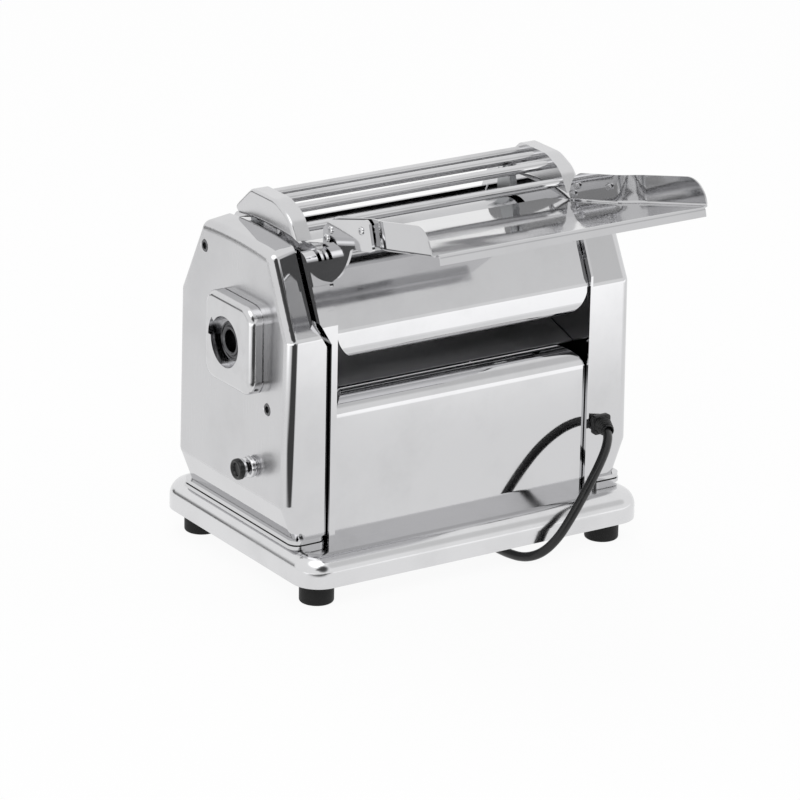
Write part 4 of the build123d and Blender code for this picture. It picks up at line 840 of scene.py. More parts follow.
class Repeats:
    """The geometry node trees that lay out whatever repeats, and the call that runs them."""

    def __init__(self) -> None:
        """Builds both trees."""
        self.ring = self._ring_tree()
        self.spots = self._spots_tree()

    def _new_tree(
        self, name: str, sockets: Sequence[tuple[str, str]]
    ) -> tuple[bpy.types.NodeTree, Graph]:
        """A tree with named inputs and one output.

        Args:
            name: the tree's name.
            sockets: (name, kind) of each input.

        Returns:
            The tree, and the graph that fills it.
        """
        tree = bpy.data.node_groups.new(name, "GeometryNodeTree")
        for label, kind in sockets:
            tree.interface.new_socket(label, in_out="INPUT", socket_type=f"NodeSocket{kind}")
        tree.interface.new_socket("Geometry", in_out="OUTPUT", socket_type="NodeSocketGeometry")
        return tree, Graph(tree)

    def _finish(
        self, graph: Graph, instances: bpy.types.NodeSocket, material: bpy.types.NodeSocket
    ) -> None:
        """Makes the copies real, gives them their material and hands them out.

        Args:
            graph: the tree's graph.
            instances: the copies.
            material: the tree's material input.
        """
        real = graph.node("GeometryNodeRealizeInstances", {}, {"Geometry": instances})
        inputs = {"Geometry": real.outputs[0], "Material": material}
        painted = graph.node("GeometryNodeSetMaterial", {}, inputs)
        graph.node("NodeGroupOutput", {}, {"Geometry": painted.outputs[0]})

    def _ring_tree(self) -> bpy.types.NodeTree:
        """Blocks at even steps round an axis, moved and turned into place.

        Returns:
            The tree.
        """
        sockets = [("Count", "Int"), ("Material", "Material")]
        sockets += [(name, "Float") for name in ("Radius", "First", "Step")]
        sockets += [(name, "Vector") for name in ("Block", "Place", "Turn")]
        tree, graph = self._new_tree("ring_of_blocks", sockets)
        given = graph.node("NodeGroupInput").outputs
        index = graph.field("GeometryNodeInputIndex", 0)
        angle = index * Field(graph, given["Step"]) + Field(graph, given["First"])
        radius = Field(graph, given["Radius"])
        inputs = {0: angle.cosine() * radius, 1: angle.sine() * radius}
        spot = graph.field("ShaderNodeCombineXYZ", 0, {}, inputs)
        inputs = {"Count": given["Count"], "Position": spot}
        points = graph.field("GeometryNodePoints", 0, {}, inputs)
        block = graph.field("GeometryNodeMeshCube", "Mesh", {}, {"Size": given["Block"]})
        turn = graph.field("ShaderNodeCombineXYZ", 0, {}, {2: angle})
        turn = graph.field("FunctionNodeEulerToRotation", 0, {}, {0: turn})
        inputs = {"Points": points, "Instance": block, "Rotation": turn}
        placed = graph.field("GeometryNodeInstanceOnPoints", 0, {}, inputs)
        turn = graph.field("FunctionNodeEulerToRotation", 0, {}, {0: given["Turn"]})
        inputs = {"Geometry": placed, "Translation": given["Place"], "Rotation": turn}
        moved = graph.node("GeometryNodeTransform", {}, inputs)
        self._finish(graph, moved.outputs[0], given["Material"])
        return tree

    def _spots_tree(self) -> bpy.types.NodeTree:
        """Copies of a master piece on points, each looking along its point's own direction.

        Returns:
            The tree.
        """
        sockets = (("Geometry", "Geometry"), ("Master", "Object"), ("Material", "Material"))
        tree, graph = self._new_tree("pieces_on_spots", sockets)
        given = graph.node("NodeGroupInput").outputs
        settings = {"transform_space": "ORIGINAL"}
        inputs = {"Object": given["Master"]}
        master = graph.field("GeometryNodeObjectInfo", "Geometry", settings, inputs)
        settings = {"data_type": "FLOAT_VECTOR"}
        looks = graph.field("GeometryNodeInputNamedAttribute", 0, settings, {"Name": "looks"})
        settings = {"axis": "Z"}
        turn = graph.field("FunctionNodeAlignRotationToVector", 0, settings, {"Vector": looks})
        inputs = {"Points": given["Geometry"], "Instance": master, "Rotation": turn}
        placed = graph.node("GeometryNodeInstanceOnPoints", {}, inputs)
        self._finish(graph, placed.outputs[0], given["Material"])
        return tree

    def run(
        self, tree: bpy.types.NodeTree, carrier: bpy.types.Mesh, values: dict
    ) -> bpy.types.Mesh:
        """Runs a tree on a carrier and keeps the plain mesh.

        Args:
            tree: the tree.
            carrier: the mesh that it starts from.
            values: its inputs by name.

        Returns:
            The mesh that comes out, with no modifier left.
        """
        piece = shown("carrier", carrier)
        modifier = piece.modifiers.new("repeat", "NODES")
        modifier.node_group = tree
        for item in tree.interface.items_tree:
            if item.in_out == "INPUT" and item.name in values:
                modifier[item.identifier] = values[item.name]
        shaped = piece.evaluated_get(bpy.context.evaluated_depsgraph_get())
        mesh = bpy.data.meshes.new_from_object(shaped)
        bpy.data.objects.remove(piece)
        return mesh

    def blocks(
        self,
        count: int,
        radius: float,
        first: float,
        step: float,
        block: Point,
        at: Matrix,
        finish: Finish,
    ) -> bpy.types.Mesh:
        """A ring of blocks.

        Args:
            count: how many blocks.
            radius: from the axis to each block's middle, in mm.
            first: the first block's angle, in degrees.
            step: the angle from each to the next, in degrees.
            block: each block's size outwards, around and along the axis, in mm.
            at: the ring's middle; its Z is the axis and its X is angle 0.
            finish: their finish.

        Returns:
            The blocks as one mesh.
        """
        values = {
            "Count": count,
            "Radius": radius * MM,
            "First": math.radians(first),
            "Step": math.radians(step),
            "Block": tuple(side * MM for side in block),
            "Place": tuple(at.to_translation()),
            "Turn": tuple(at.to_euler()),
            "Material": finish.material(),
        }
        return self.run(self.ring, bpy.data.meshes.new("blocks"), values)

    def copies(
        self, profile: Sequence[tuple], spots: Sequence[tuple[Vector, Vector]], finish: Finish
    ) -> bpy.types.Mesh:
        """Copies of a turned fastener.

        Args:
            profile: its outline for lathe_into, with run 0 where it is placed.
            spots: (place, direction) of each copy, in metres.
            finish: their finish.

        Returns:
            The copies as one mesh.
        """
        master = shown("master", turned(profile, Vector(), UPWARDS, FASTENER_STEPS))
        carrier = bpy.data.meshes.new("spots")
        carrier.from_pydata([tuple(spot) for spot, _ in spots], [], [])
        looks = carrier.attributes.new("looks", "FLOAT_VECTOR", "POINT")
        for item, (_, direction) in zip(looks.data, spots):
            item.vector = direction
        mesh = self.run(self.spots, carrier, {"Master": master, "Material": finish.material()})
        bpy.data.objects.remove(master)
        return mesh


REPEATS = Repeats()


# ---------------------------------------------------------------- studio


@dataclass
class Studio:
    """Floor, lamps, surroundings and camera. Nothing here is part of the object.

    A flag is a soft patch of the room that polished metal sees: the way to it, its half angle in
    degrees and how much darker it is. Below 0 it is brighter. The bands say where a zone of the
    floor starts and is full, in metres across or in depth. A lamp has a name, a place, a side in
    metres and a power in watts.
    """

    azimuth: float = -33.184
    elevation: float = 19.841
    roll: float = 1.135
    distance: float = 3.63984
    target: Point = (-0.03946, -0.00107, 0.130)
    lens: float = 225.46
    floor_size: float = 8.0
    floor_glow: float = 0.93
    slant: tuple[float, float] = (0.515, 0.787)
    outside_face: Band = (-0.18, -0.10)
    front_across: Band = (-0.56, -0.40)
    front_depth: Band = (-0.22, -0.10)
    ahead_across: Band = (-0.05, 0.25)
    ahead_depth: Band = (-0.55, -0.22)
    far_behind: Band = (1.4, 2.2)
    beside_across: Band = (-0.80, -0.55)
    beside_depth: Band = (-0.20, 0.10)
    dark_in_front: float = 0.93
    dark_behind: float = 0.6
    bright_beside: float = 0.9
    bright_ahead: float = 0.5
    soft_light: float = 0.55
    lit_point: Point = (0.0, 0.0, 0.12)
    lamps: tuple[tuple[str, Point, float, float], ...] = (
        ("key", (-1.5, -1.6, 2.0), 1.5, 26.0),
        ("fill", (2.0, -1.0, 1.4), 1.5, 12.0),
        ("top", (0.2, 1.2, 2.4), 1.6, 16.0),
    )
    flag_core: float = 0.4
    flags: tuple[tuple[Point, float, float], ...] = (
        ((0.50, -0.62, 0.60), 20.0, 0.25),
        ((-0.15, -0.85, 0.50), 26.0, 0.93),
        ((-0.50, -0.74, 0.45), 9.0, 0.80),
        ((-0.50, 0.86, -0.02), 15.0, 0.90),
        ((-0.30, -0.30, 0.90), 30.0, -1.2),
    )

    def camera(self) -> None:
        """Stands the camera to the front left of the object, a little above it."""
        turn, rise, roll = (math.radians(a) for a in (self.azimuth, self.elevation, self.roll))
        level = Vector((math.sin(turn), -math.cos(turn), 0.0))
        back = level * math.cos(rise) + UPWARDS * math.sin(rise)
        right = Vector((math.cos(turn), math.sin(turn), 0.0))
        up = back.cross(right)
        rolled_right = right * math.cos(roll) + up * math.sin(roll)
        rolled_up = up * math.cos(roll) - right * math.sin(roll)
        data = bpy.data.cameras.new("camera")
        data.lens = self.lens
        data.sensor_width = 36.0
        camera = shown("camera", data)
        matrix = Matrix((rolled_right, rolled_up, back)).transposed().to_4x4()
        matrix.translation = Vector(self.target) + back * self.distance
        camera.matrix_world = matrix
        bpy.context.scene.camera = camera

    def surroundings(self) -> None:
        """A white room for the eye; mirrors also see a few soft dark flags in it."""
        world = bpy.data.worlds.new("studio")
        world.use_nodes = True
        bpy.context.scene.world = world
        graph = Graph(world.node_tree)
        sight = graph.node("ShaderNodeLightPath").outputs
        towards = graph.field("ShaderNodeTexCoord", "Generated")
        room: Number = 1.0
        for middle, spread, dark in self.flags:
            inputs = {0: towards, 1: Vector(middle).normalized()}
            settings = {"operation": "DOT_PRODUCT"}
            near = graph.field("ShaderNodeVectorMath", "Value", settings, inputs)
            rim, core = (math.cos(math.radians(spread * part)) for part in (1.0, self.flag_core))
            room = room * (1.0 - near.band(rim, core) * dark)
        soft = graph.node("ShaderNodeBackground", {}, {0: WHITE, 1: self.soft_light})
        mirrored = graph.node("ShaderNodeBackground", {}, {0: WHITE, 1: room})
        white = graph.node("ShaderNodeBackground", {}, {0: WHITE, 1: 1.0})
        unseen = graph.mixed(sight["Is Glossy Ray"], soft, mirrored)
        seen = Field(graph, sight["Is Camera Ray"]) + Field(graph, sight["Is Transmission Ray"])
        last = graph.mixed(seen, unseen, white)
        graph.node("ShaderNodeOutputWorld", {}, {"Surface": last.outputs[0]})

    def mirrored_floor(self, graph: Graph) -> Field:
        """The painted light and shade that polished metal sees on each part of the floor.

        Args:
            graph: the floor material's graph.

        Returns:
            The level: dark in front of and far behind the object, bright beside and ahead.
        """
        across, depth = graph.along(Axis.X), graph.along(Axis.Y)
        (slant_x, slant_y), slope = self.slant, self.slant[0] / self.slant[1]
        outside = 1.0 - (across + depth * slope + SIDE_X * MM).band(*self.outside_face)
        front = outside * across.band(*self.front_across) * (1.0 - depth.band(*self.front_depth))
        ahead = (1.0 - depth.band(*self.ahead_depth)) * across.band(*self.ahead_across)
        behind = (depth * slant_y - across * slant_x).band(*self.far_behind)
        beside = (1.0 - across.band(*self.beside_across)) * (1.0 - depth.band(*self.beside_depth))
        level = 1.0 - front * self.dark_in_front - behind * self.dark_behind
        return level + beside * self.bright_beside + ahead * self.bright_ahead

    def floor(self) -> None:
        """A pale floor that keeps part of the object's shadow, and glows with painted dark and
        bright zones where polished metal sees it.
        """
        mesh = bpy.data.meshes.new("floor")
        half = self.floor_size / 2
        corners = [(x * half, y * half, 0) for x, y in ((-1, -1), (1, -1), (1, 1), (-1, 1))]
        mesh.from_pydata(corners, [], [(0, 1, 2, 3)])
        material = bpy.data.materials.new("pale_floor")
        material.use_nodes = True
        graph = Graph(material.node_tree)
        sight = graph.node("ShaderNodeLightPath").outputs
        pale = graph.blend(graph.noise(graph.where(), 30.0, 3.0), (0.90,) * 3, (0.92,) * 3)
        matt = graph.node("ShaderNodeBsdfDiffuse", {}, {"Color": pale})
        glow = graph.node("ShaderNodeEmission", {}, {"Color": WHITE})
        # Painted reflection: glossy rays see the floor glow in painted dark and bright zones.
        mirrored = graph.node("ShaderNodeEmission", {}, {"Color": self.mirrored_floor(graph)})
        eye = graph.mixed(Field(graph, sight["Is Camera Ray"]) * self.floor_glow, matt, glow)
        mix = graph.mixed(sight["Is Glossy Ray"], eye, mirrored)
        graph.node("ShaderNodeOutputMaterial", {}, {"Surface": mix.outputs[0]})
        mesh.materials.append(material)
        shown("floor", mesh)

    def lamp(self, name: str, at: Point, size: float, power: float) -> None:
        """A square soft lamp that faces the object and doesn't show in polished metal.

        Args:
            name: the lamp's name.
            at: its place, in metres.
            size: its side, in metres.
            power: its power, in watts.
        """
        data = bpy.data.lights.new(name, "AREA")
        data.shape = "SQUARE"
        data.size = size
        data.energy = power
        lamp = shown(name, data)
        lamp.location = at
        lamp.visible_glossy = False
        lamp.rotation_mode = "QUATERNION"
        back = Vector(at) - Vector(self.lit_point)
        lamp.rotation_quaternion = back.to_track_quat("Z", "Y")

    def build(self) -> None:
        """Sets the whole studio up."""
        bpy.context.scene.view_settings.view_transform = "Standard"
        self.camera()
        self.surroundings()
        self.floor()
        for name, at, size, power in self.lamps:
            self.lamp(name, at, size, power)
        LOG.info("studio set")


# ---------------------------------------------------------------- mains lead


@dataclass
class MainsLead:
    """The free cord with its coil, its gland and its plug. Lengths but the cord's are in mm.

    The cord runs along its route, then round the coil, which goes inwards by lanes on the lower
    level and outwards again on the upper one, and along its tail to the plug.
    """

    radius: float = 3.5
    route: tuple[Point, ...] = (
        (125.0, -78.0, 88.3),
        (121.6, -91.4, 87.9),
        (112.8, -102.5, 81.3),
        (102.5, -109.0, 72.0),
        (92.0, -113.0, 61.0),
        (82.0, -115.0, 48.5),
        (72.0, -116.0, 35.5),
        (62.0, -115.5, 22.5),
        (52.5, -110.3, 11.2),
        (45.0, -99.0, 4.8),
        (41.0, -83.0, 3.5),
        (39.5, -61.0, 3.5),
        (35.0, -25.0, 3.5),
        (23.0, 20.0, 3.5),
        (8.0, 65.0, 3.5),
        (-7.0, 105.0, 3.5),
        (-19.5, 135.0, 3.5),
        (-24.8, 156.0, 3.5),
    )
    coil_at: tuple[float, float] = (22.0, 172.0)
    lanes: tuple[float, float, float] = (47.2, 40.0, 32.8)
    levels: tuple[float, float] = (3.5, 10.6)
    points_per_turn: int = 16
    tail: tuple[Point, ...] = (
        (40.0, 218.8, 10.6),
        (52.0, 217.4, 10.4),
        (62.0, 214.6, 10.9),
        (71.0, 211.4, 13.4),
        (78.0, 209.5, 17.0),
        (84.0, 209.0, 19.0),
    )
    length: float = 1.8
    turns: float = 5.25
    crossing: float = 2.6
    wall_y: float = -76.6
    gland_bore: float = 3.6
    gland_plate: Point = (14.6, 14.6, 2.6)
    gland_ribs: int = 4
    ribs_from: float = 3.2
    ribs_to: float = 12.2
    boot_ribs: int = 5
    plug_grips: int = 32

    def coil_point(self, turn: float) -> Point:
        """A control point of the coil.

        Args:
            turn: turns gone since the coil began, clockwise from its left side.

        Returns:
            The point, in mm.
        """
        outer, middle, inner = self.lanes
        low, high = self.levels
        whole, part = int(turn), turn % 1.0

        def eased(start: float, end: float) -> float:
            """How far this turn's change of lane has gone, smoothly from 0 to 1."""
            gone = min(1.0, max(0.0, (part - start) / (end - start)))
            return gone * gone * (3 - 2 * gone)

        inwards, outwards = eased(0.70, 0.93), eased(0.42, 0.66)
        lift = self.crossing * math.sin(math.pi * outwards)
        reach, height = {
            0: (outer + (middle - outer) * inwards, low),
            1: (middle + (inner - middle) * inwards, low),
            2: (inner, low + (high - low) * outwards),
            3: (inner + (middle - inner) * outwards, high + lift),
            4: (middle + (outer - middle) * outwards, high),
            5: (outer, high),
        }[whole]
        reach /= math.cos(math.pi / self.points_per_turn)
        angle = math.pi - math.tau * turn
        x, y = self.coil_at
        return (x + reach * math.cos(angle), y + reach * math.sin(angle), height)

    def points(self) -> list[Point]:
        """Every control point of the cord, from the gland to the plug.

        Returns:
            The points, in mm.
        """
        count = int(self.turns * self.points_per_turn)
        turns = [self.coil_point(step / self.points_per_turn) for step in range(count + 1)]
        return [*self.route, *turns, *self.tail]

    def cord(self) -> bpy.types.Object:
        """The cord as one smooth curve.

        Returns:
            The cord's piece.
        """
        data = bpy.data.curves.new("mains_cord", "CURVE")
        data.dimensions = "3D"
        data.bevel_depth = self.radius * MM
        data.bevel_resolution = 5
        data.resolution_u = 8
        data.use_fill_caps = True
        spline = data.splines.new("NURBS")
        points = self.points()
        spline.points.add(len(points) - 1)
        for point, spot in zip(spline.points, points):
            point.co = (*place(*spot), 1.0)
        spline.order_u = 3
        spline.use_endpoint_u = True
        data.materials.append(SHEATH.material())
        cord = shown("mains_cord", data)
        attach(cord, "body")
        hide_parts("power_cord", "cord_coil", "cord_tail")
        return cord

    def relief(self) -> None:
        """The strain relief: a plate, a lock nut and a ribbed sleeve that tapers along the cord."""
        bore = self.gland_bore
        start = place(*self.route[0])
        lean = place(*self.route[1]) - start
        wall = facing(place(self.route[0][0], self.wall_y, self.route[0][2]), FORWARDS)
        bm = bmesh.new()
        plate_into(bm, self.gland_plate, 2.2, 0.8, wall)
        lathe_into(bm, [(bore, -8.0), (6.0, -8.0), (6.0, 0.3), (bore, 0.3), (bore, -8.0)], wall)
        lock_nut = [
            (6.0, -5.7), (8.6, -5.7, SIX), (9.0, -5.3, SIX), (9.0, -1.7, SIX), (6.0, -1.7),
            (6.0, -5.7),
        ]
        lathe_into(bm, lock_nut, wall)
        sleeve = [(bore, -1.4), (6.9, -1.4), (6.9, 2.6)]
        for rib in range(self.gland_ribs):
            share = rib / self.gland_ribs
            run = self.ribs_from + (self.ribs_to - self.ribs_from) * share
            reach = 6.6 - 1.7 * share
            sleeve += [(reach - 0.8, run), (reach, run + 0.5)]
            sleeve += [(reach - 0.1, run + 1.2), (reach - 0.8, run + 1.6)]
        end = self.ribs_to
        sleeve += [(4.6, end + 0.4), (4.4, end + 1.6), (3.7, end + 1.9), (bore, end), (bore, -1.4)]
        lathe_into(bm, sleeve, facing(start, lean.normalized()))
        mesh = mesh_of(bm, "cord_relief")
        finished("cord_relief", mesh, PLASTIC, "body", "black_plastic", "cord_gland")

    def plug(self) -> bpy.types.Object:
        """The moulded plug: a ribbed boot, a gripped body and a recessed pin face.

        Returns:
            The plug's piece.
        """
        start = place(*self.tail[-1])
        boot = [(0.0, 0.0), (3.6, 0.0), (4.9, 0.4)]
        for rib in range(self.boot_ribs):
            run, reach = 1.2 + 2.5 * rib, 5.2 + 0.55 * rib
            boot += [(reach, run), (reach, run + 1.2)]
            boot += [(reach - 0.9, run + 1.6), (reach - 0.8, run + 2.3)]
        shell = [
            (8.3, 14.0, 0.0), (14.0, 19.5, 3.0), (18.0, 25.0, 3.5), (18.4, 32.0, 2.0),
            (18.4, 45.4, 0.0), (19.0, 45.6, 0.0), (19.0, 47.4, 0.4), (18.4, 48.0, 0.0),
        ]
        face = [(17.0, 48.0), (16.6, 47.3), (0.0, 47.3)]
        bm = bmesh.new()
        lathe_into(bm, boot + rounded(shell) + face, facing(start, RIGHTWARDS))
        middle = facing(start + RIGHTWARDS * 39.5 * MM, RIGHTWARDS)
        turn = 360 / self.plug_grips
        grip = REPEATS.blocks(self.plug_grips, 18.55, 0.0, turn, (0.8, 1.5, 10.0), middle, PLASTIC)
        bm.from_mesh(grip)
        mesh = mesh_of(bm, "plug_shell")
        return finished("plug_shell", mesh, PLASTIC, "body", "black_plastic", "plug_body")

    def build(self) -> None:
        """Builds the cord, its gland and its plug."""
        cord = self.cord()
        self.relief()
        plug = self.plug()
        tuple(place(*self.route[0]))
        LOG.info("laid the mains cord")


# ---------------------------------------------------------------- controls and fasteners


@dataclass
class DriveSocket:
    """The coupling in the attachment socket, with its shaft. Lengths are in mm."""

    axis_at: Point = (-108.5, -13.25, 183.28)
    shaft_r: float = 7.0
    hub: tuple[float, float] = (11.0, 38.5)
    disc: tuple[float, float] = (14.5, 44.5)
    face: float = 50.5
    bore: tuple[float, float] = (8.25, 40.5)
    collar_r: float = 10.9
    steps: int = 72

    def build(self) -> None:
        """Turns the shaft, hub and disc with a raised collar round the bore."""
        (hub_r, hub_from), (disc_r, disc_from), (bore_r, bore_end) = self.hub, self.disc, self.bore
        low = self.face - 1.0
        profile = [
            (0.0, 0.0), (self.shaft_r - 0.6, 0.0), (self.shaft_r, 0.6), (self.shaft_r, hub_from),
            (hub_r - 0.4, hub_from), (hub_r, hub_from + 0.4), (hub_r, disc_from),
            (disc_r - 0.8, disc_from), (disc_r, disc_from + 0.8), (disc_r, low - 0.5),
            (disc_r - 0.4, low), (disc_r - 1.5, low), (disc_r - 1.8, low - 0.6),
            (self.collar_r + 0.5, low - 0.6), (self.collar_r, low - 0.2),
            (self.collar_r, self.face - 0.4), (self.collar_r - 0.4, self.face),
            (bore_r + 0.9, self.face), (bore_r, self.face - 0.8), (bore_r, bore_end),
            (0.0, bore_end),
        ]
        mesh = turned(profile, place(*self.axis_at), LEFTWARDS, self.steps)
        finished("drive_coupling", mesh, BLACKENED, "drive_set", "turned_steel", "drive_shaft")


@dataclass
class ResetControl:
    """The dished reset button in its ringed bushing. Lengths are in mm."""

    axis_at: tuple[float, float] = (-32.0, 92.0)
    bushing_x: float = -143.0
    button_x: float = -141.0

    def build(self) -> None:
        """Turns the bushing and the button with its collar."""
        bushing_at, button_at = (place(x, *self.axis_at) for x in (self.bushing_x, self.button_x))
        ring = [
            (3.55, 0.0), (5.8, 0.0), (5.8, 1.6), (8.0, 1.6), (8.4, 2.0), (8.4, 4.2), (8.0, 4.6),
            (5.8, 4.6), (5.8, 6.9), (8.0, 6.9), (8.0, 7.3), (6.7, 7.6), (6.7, 8.7), (8.0, 9.0),
            (8.0, 10.9), (7.8, 11.5), (7.2, 12.0), (6.4, 12.2), (4.4, 12.2), (3.55, 11.5),
            (3.55, 0.0),
        ]
        mesh = turned(ring, bushing_at, LEFTWARDS)
        finished("reset_ring", mesh, TURNED, "body", "turned_steel", "reset_bushing")
        cap = [
            (0.0, 0.0), (3.1, 0.0), (3.5, 0.4), (3.5, 19.6), (7.2, 19.6), (7.8, 20.2),
            (7.8, 22.4), (7.6, 23.3), (7.1, 23.8), (6.5, 24.0), (5.7, 23.9), (5.1, 23.4),
            (4.7, 22.6), (4.4, 22.0), (0.0, 21.7),
        ]
        mesh = turned(cap, button_at, LEFTWARDS)
        finished("reset_cap", mesh, PLASTIC, "reset", "black_plastic", "reset_button")
        collar = [
            (3.5, 17.2), (6.6, 17.2), (7.0, 17.6), (7.0, 19.2), (6.6, 19.6), (3.5, 19.6),
            (3.5, 17.2),
        ]
        mesh = turned(collar, button_at, LEFTWARDS)
        finished("reset_collar", mesh, TURNED, "reset", "turned_steel")


@dataclass
class ThicknessDial:
    """The printed scale round the thickness knob. Lengths are in mm."""

    centre: tuple[float, float] = DIAL_AT
    face_x: float = 149.58
    first: float = -45.0
    step: float = 30.0
    settings: int = 10
    tick_r: float = 23.9
    tick: Point = (2.4, 0.55, 0.08)
    half_tick_r: float = 23.3
    half_tick: Point = (1.2, 0.3, 0.08)
    number_r: float = 27.7
    number_size: float = 4.4
    number_depth: float = 0.04
    ink_lift: float = 0.05
    mark_x: float = 164.97
    mark_r: float = 14.5
    mark: Point = (9.0, 1.5, 0.1)

    def frame_at(self, lift: float) -> Matrix:
        """The dial's middle: X is depth, Y is up and Z leaves the leaning face.

        Args:
            lift: how far in front of the face it lies, in mm.

        Returns:
            The frame.
        """
        out = side_out(Side.RIGHT)
        side = Vector((0.0, 1.0, 0.0))
        turn = Matrix((side, out.cross(side), out)).transposed().to_4x4()
        return Matrix.Translation(place(self.face_x, *self.centre) + out * lift * MM) @ turn

    def numbers(self) -> bpy.types.Mesh:
        """The plain numbers of the settings, upright and in a ring.

        Returns:
            The numbers as one mesh.
        """
        bm = bmesh.new()
        for number in range(self.settings):
            letter = bpy.data.curves.new("number", "FONT")
            letter.body = str(number)
            letter.size = self.number_size * MM
            letter.extrude = self.number_depth * MM
            letter.align_x, letter.align_y = "CENTER", "CENTER"
            carrier = bpy.data.objects.new("number", letter)
            mesh = bpy.data.meshes.new_from_object(carrier)
            turn = math.radians(self.first + self.step * number)
            spot = Vector((math.cos(turn), math.sin(turn), 0)) * self.number_r * MM
            mesh.transform(self.frame_at(self.ink_lift) @ Matrix.Translation(spot))
            bm.from_mesh(mesh)
            bpy.data.objects.remove(carrier)
        return mesh_of(bm, "numbers")

    def build(self) -> None:
        """Prints the ticks and the numbers, and marks the knob."""
        dial = self.frame_at(self.ink_lift)
        first, step, count = self.first, self.step, self.settings
        major = REPEATS.blocks(count, self.tick_r, first, step, self.tick, dial, BLACK_INK)
        finished("dial_ticks", major, BLACK_INK, "body", "dial_face")
        halves = (count - 1, self.half_tick_r, first + step / 2, step, self.half_tick)
        minor = REPEATS.blocks(*halves, dial, BLACK_INK)
        finished("dial_half_ticks", minor, BLACK_INK, "body", "dial_face")
        finished("dial_numbers", self.numbers(), BLACK_INK, "body", "dial_face")
        sideways = Matrix(((0, 0, 1), (1, 0, 0), (0, 1, 0))).to_4x4()
        knob = Matrix.Translation(place(self.mark_x, *self.centre)) @ sideways
        mark = REPEATS.blocks(1, self.mark_r, first, 0.0, self.mark, knob, WHITE_INK)
        finished("knob_mark", mark, WHITE_INK, "thickness_control", "black_plastic")


@dataclass
class MainsSwitch:
    """The marks on the rocker's two faces. Lengths are in mm."""

    centre: tuple[float, float] = (-30.0, 118.0)
    sink: float = 3.5
    tilt: float = 8.0
    middle: tuple[float, float] = (5.62, 4.8)
    slope: tuple[float, float] = (9.6, 1.2)
    bar: Point = (3.6, 0.7, 0.06)
    ring_r: float = 1.7
    ring_blocks: int = 30
    ring_block: Point = (0.55, 0.5, 0.06)

    def face_at(self, face: RockerFace) -> Matrix:
        """The middle of a face of the rocker; its Y is up and its Z leaves the face.

        Args:
            face: which of the rocker's two faces.

        Returns:
            The frame.
        """
        surface = side_face(Side.RIGHT, *self.centre)
        axle = surface - side_out(Side.RIGHT) * self.sink * MM
        turn = math.radians(self.tilt)
        along = Vector((math.cos(turn), 0.0, -math.sin(turn)))
        up = Vector((math.sin(turn), 0.0, math.cos(turn)))
        spot = axle + (along * self.middle[0] + up * self.middle[1] * face.value) * MM
        normal = (along * self.slope[0] - up * self.slope[1] * face.value).normalized()
        across = Vector((0.0, 1.0, 0.0))
        turned_to = Matrix((across, normal.cross(across), normal)).transposed().to_4x4()
        return Matrix.Translation(spot) @ turned_to

    def build(self) -> None:
        """Prints a bar on the upper face and a ring on the lower one."""
        upper, lower = self.face_at(RockerFace.UPPER), self.face_at(RockerFace.LOWER)
        bar = REPEATS.blocks(1, 0.0, 90.0, 0.0, self.bar, upper, WHITE_INK)
        finished("switch_bar", bar, WHITE_INK, "rocker", "black_plastic")
        sizes = (self.ring_blocks, self.ring_r, 0.0, 360 / self.ring_blocks, self.ring_block)
        ring = REPEATS.blocks(*sizes, lower, WHITE_INK)
        finished("switch_ring", ring, WHITE_INK, "rocker", "black_plastic")


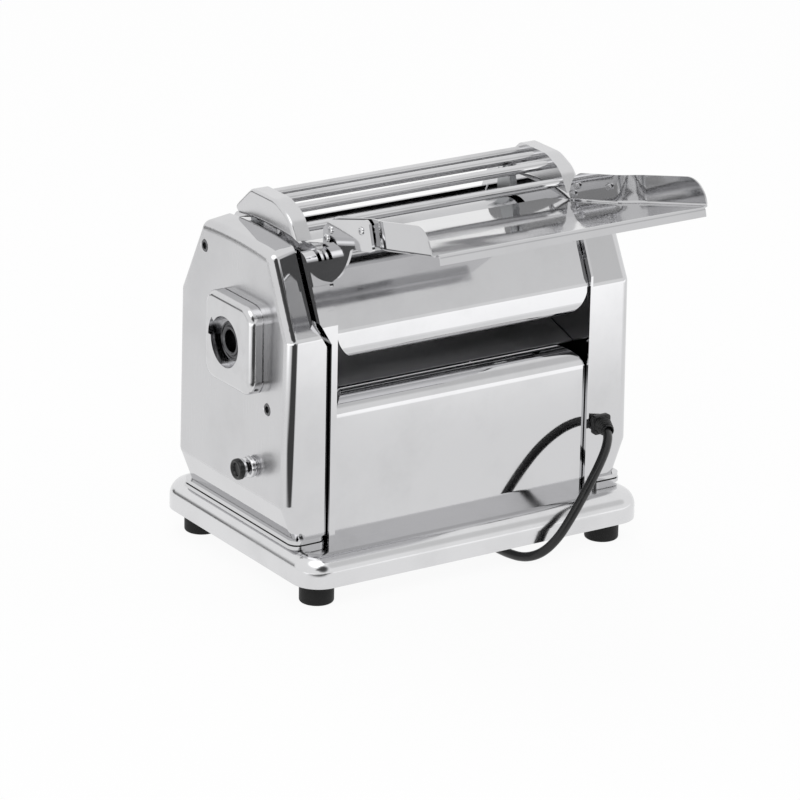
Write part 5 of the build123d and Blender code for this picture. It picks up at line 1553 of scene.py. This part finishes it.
@dataclass
class Fasteners:
    """Screws and nuts that show. Points are (depth, height) in mm."""

    left: tuple[tuple[float, float], ...] = ((42.1, 237.8), (-48.6, 140.2))
    right: tuple[tuple[float, float], ...] = ((-52.0, 225.0), (-48.6, 140.2), (48.6, 140.2))
    tray: tuple[tuple[float, float], ...] = ((-67.1, 274.4), (-61.9, 267.0), (-107.0, 284.6))
    short_above: float = 150.0
    short: float = 23.5
    long: float = 33.5
    wall_inside: float = 103.8
    arm_outside: float = 108.5

    def countersunk(self, reach: float) -> list[tuple]:
        """A countersunk screw with a hexagon recess; run 0 is the housing's face.

        Args:
            reach: how far it reaches in, in mm.

        Returns:
            Its profile for lathe_into.
        """
        return [
            (0.0, -reach), (2.0, -reach), (2.0, -4.6), (2.8, -4.6), (2.8, -1.6), (4.5, -0.5),
            (4.4, -0.32), (3.1, -0.24), (2.9, -0.3, SIX), (2.8, -2.0, SIX), (0.0, -2.2),
        ]

    def housing_screws(self) -> None:
        """The screws that hold the end housings, longer below than above."""
        spots: dict[float, list[tuple[Vector, Vector]]] = {self.short: [], self.long: []}
        for side, places in ((Side.LEFT, self.left), (Side.RIGHT, self.right)):
            for y, z in places:
                reach = self.short if z > self.short_above else self.long
                spots[reach].append((side_face(side, y, z), side_out(side)))
        bm = bmesh.new()
        for reach, placed in spots.items():
            bm.from_mesh(REPEATS.copies(self.countersunk(reach), placed, SCREW))
        mesh = mesh_of(bm, "housing_screws")
        finished("housing_screws", mesh, SCREW, "body", "plain_steel", "cover_screws")

    def tray_bolts(self) -> None:
        """The button heads outside the tray's arms and the nuts inside its walls."""
        nut = [
            (0.0, 0.0), (1.6, 0.0), (2.7, 0.0, SIX), (2.8, 0.15, SIX), (2.8, 1.75, SIX),
            (2.6, 2.0), (2.0, 2.1), (1.5, 1.9), (1.3, 2.2), (0.0, 2.2),
        ]
        head = [
            (0.0, -7.0), (1.5, -7.0), (1.5, -3.5), (2.8, -3.5), (2.8, -2.2), (1.5, -2.2),
            (1.5, 0.0), (3.0, 0.0), (3.0, 0.4), (2.7, 0.95), (2.0, 1.3), (1.5, 1.4),
            (1.3, 1.35, SIX), (1.2, 0.5, SIX), (0.0, 0.4),
        ]
        inside, outside = [], []
        for sign in (side.value for side in Side):
            for y, z in self.tray:
                inside.append((place(sign * self.wall_inside, y, z), LEFTWARDS * sign))
                outside.append((place(sign * self.arm_outside, y, z), RIGHTWARDS * sign))
        nuts, heads = REPEATS.copies(nut, inside, TURNED), REPEATS.copies(head, outside, TURNED)
        finished("tray_nuts", nuts, TURNED, "body", "turned_steel", "tray_screws")
        finished("tray_heads", heads, TURNED, "body", "turned_steel")

    def build(self) -> None:
        """Sets every fastener."""
        self.housing_screws()
        self.tray_bolts()


# ---------------------------------------------------------------- the whole


def main() -> None:
    """Builds the studio and every sub-assembly."""
    logging.basicConfig(level=logging.INFO, format="%(name)s: %(message)s")
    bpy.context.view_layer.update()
    Studio().build()
    MainsLead().build()
    dress_cad()
    DriveSocket().build()
    ResetControl().build()
    ThicknessDial().build()
    MainsSwitch().build()
    Fasteners().build()
    bpy.context.view_layer.update()


if __name__ == "__main__":
    main()
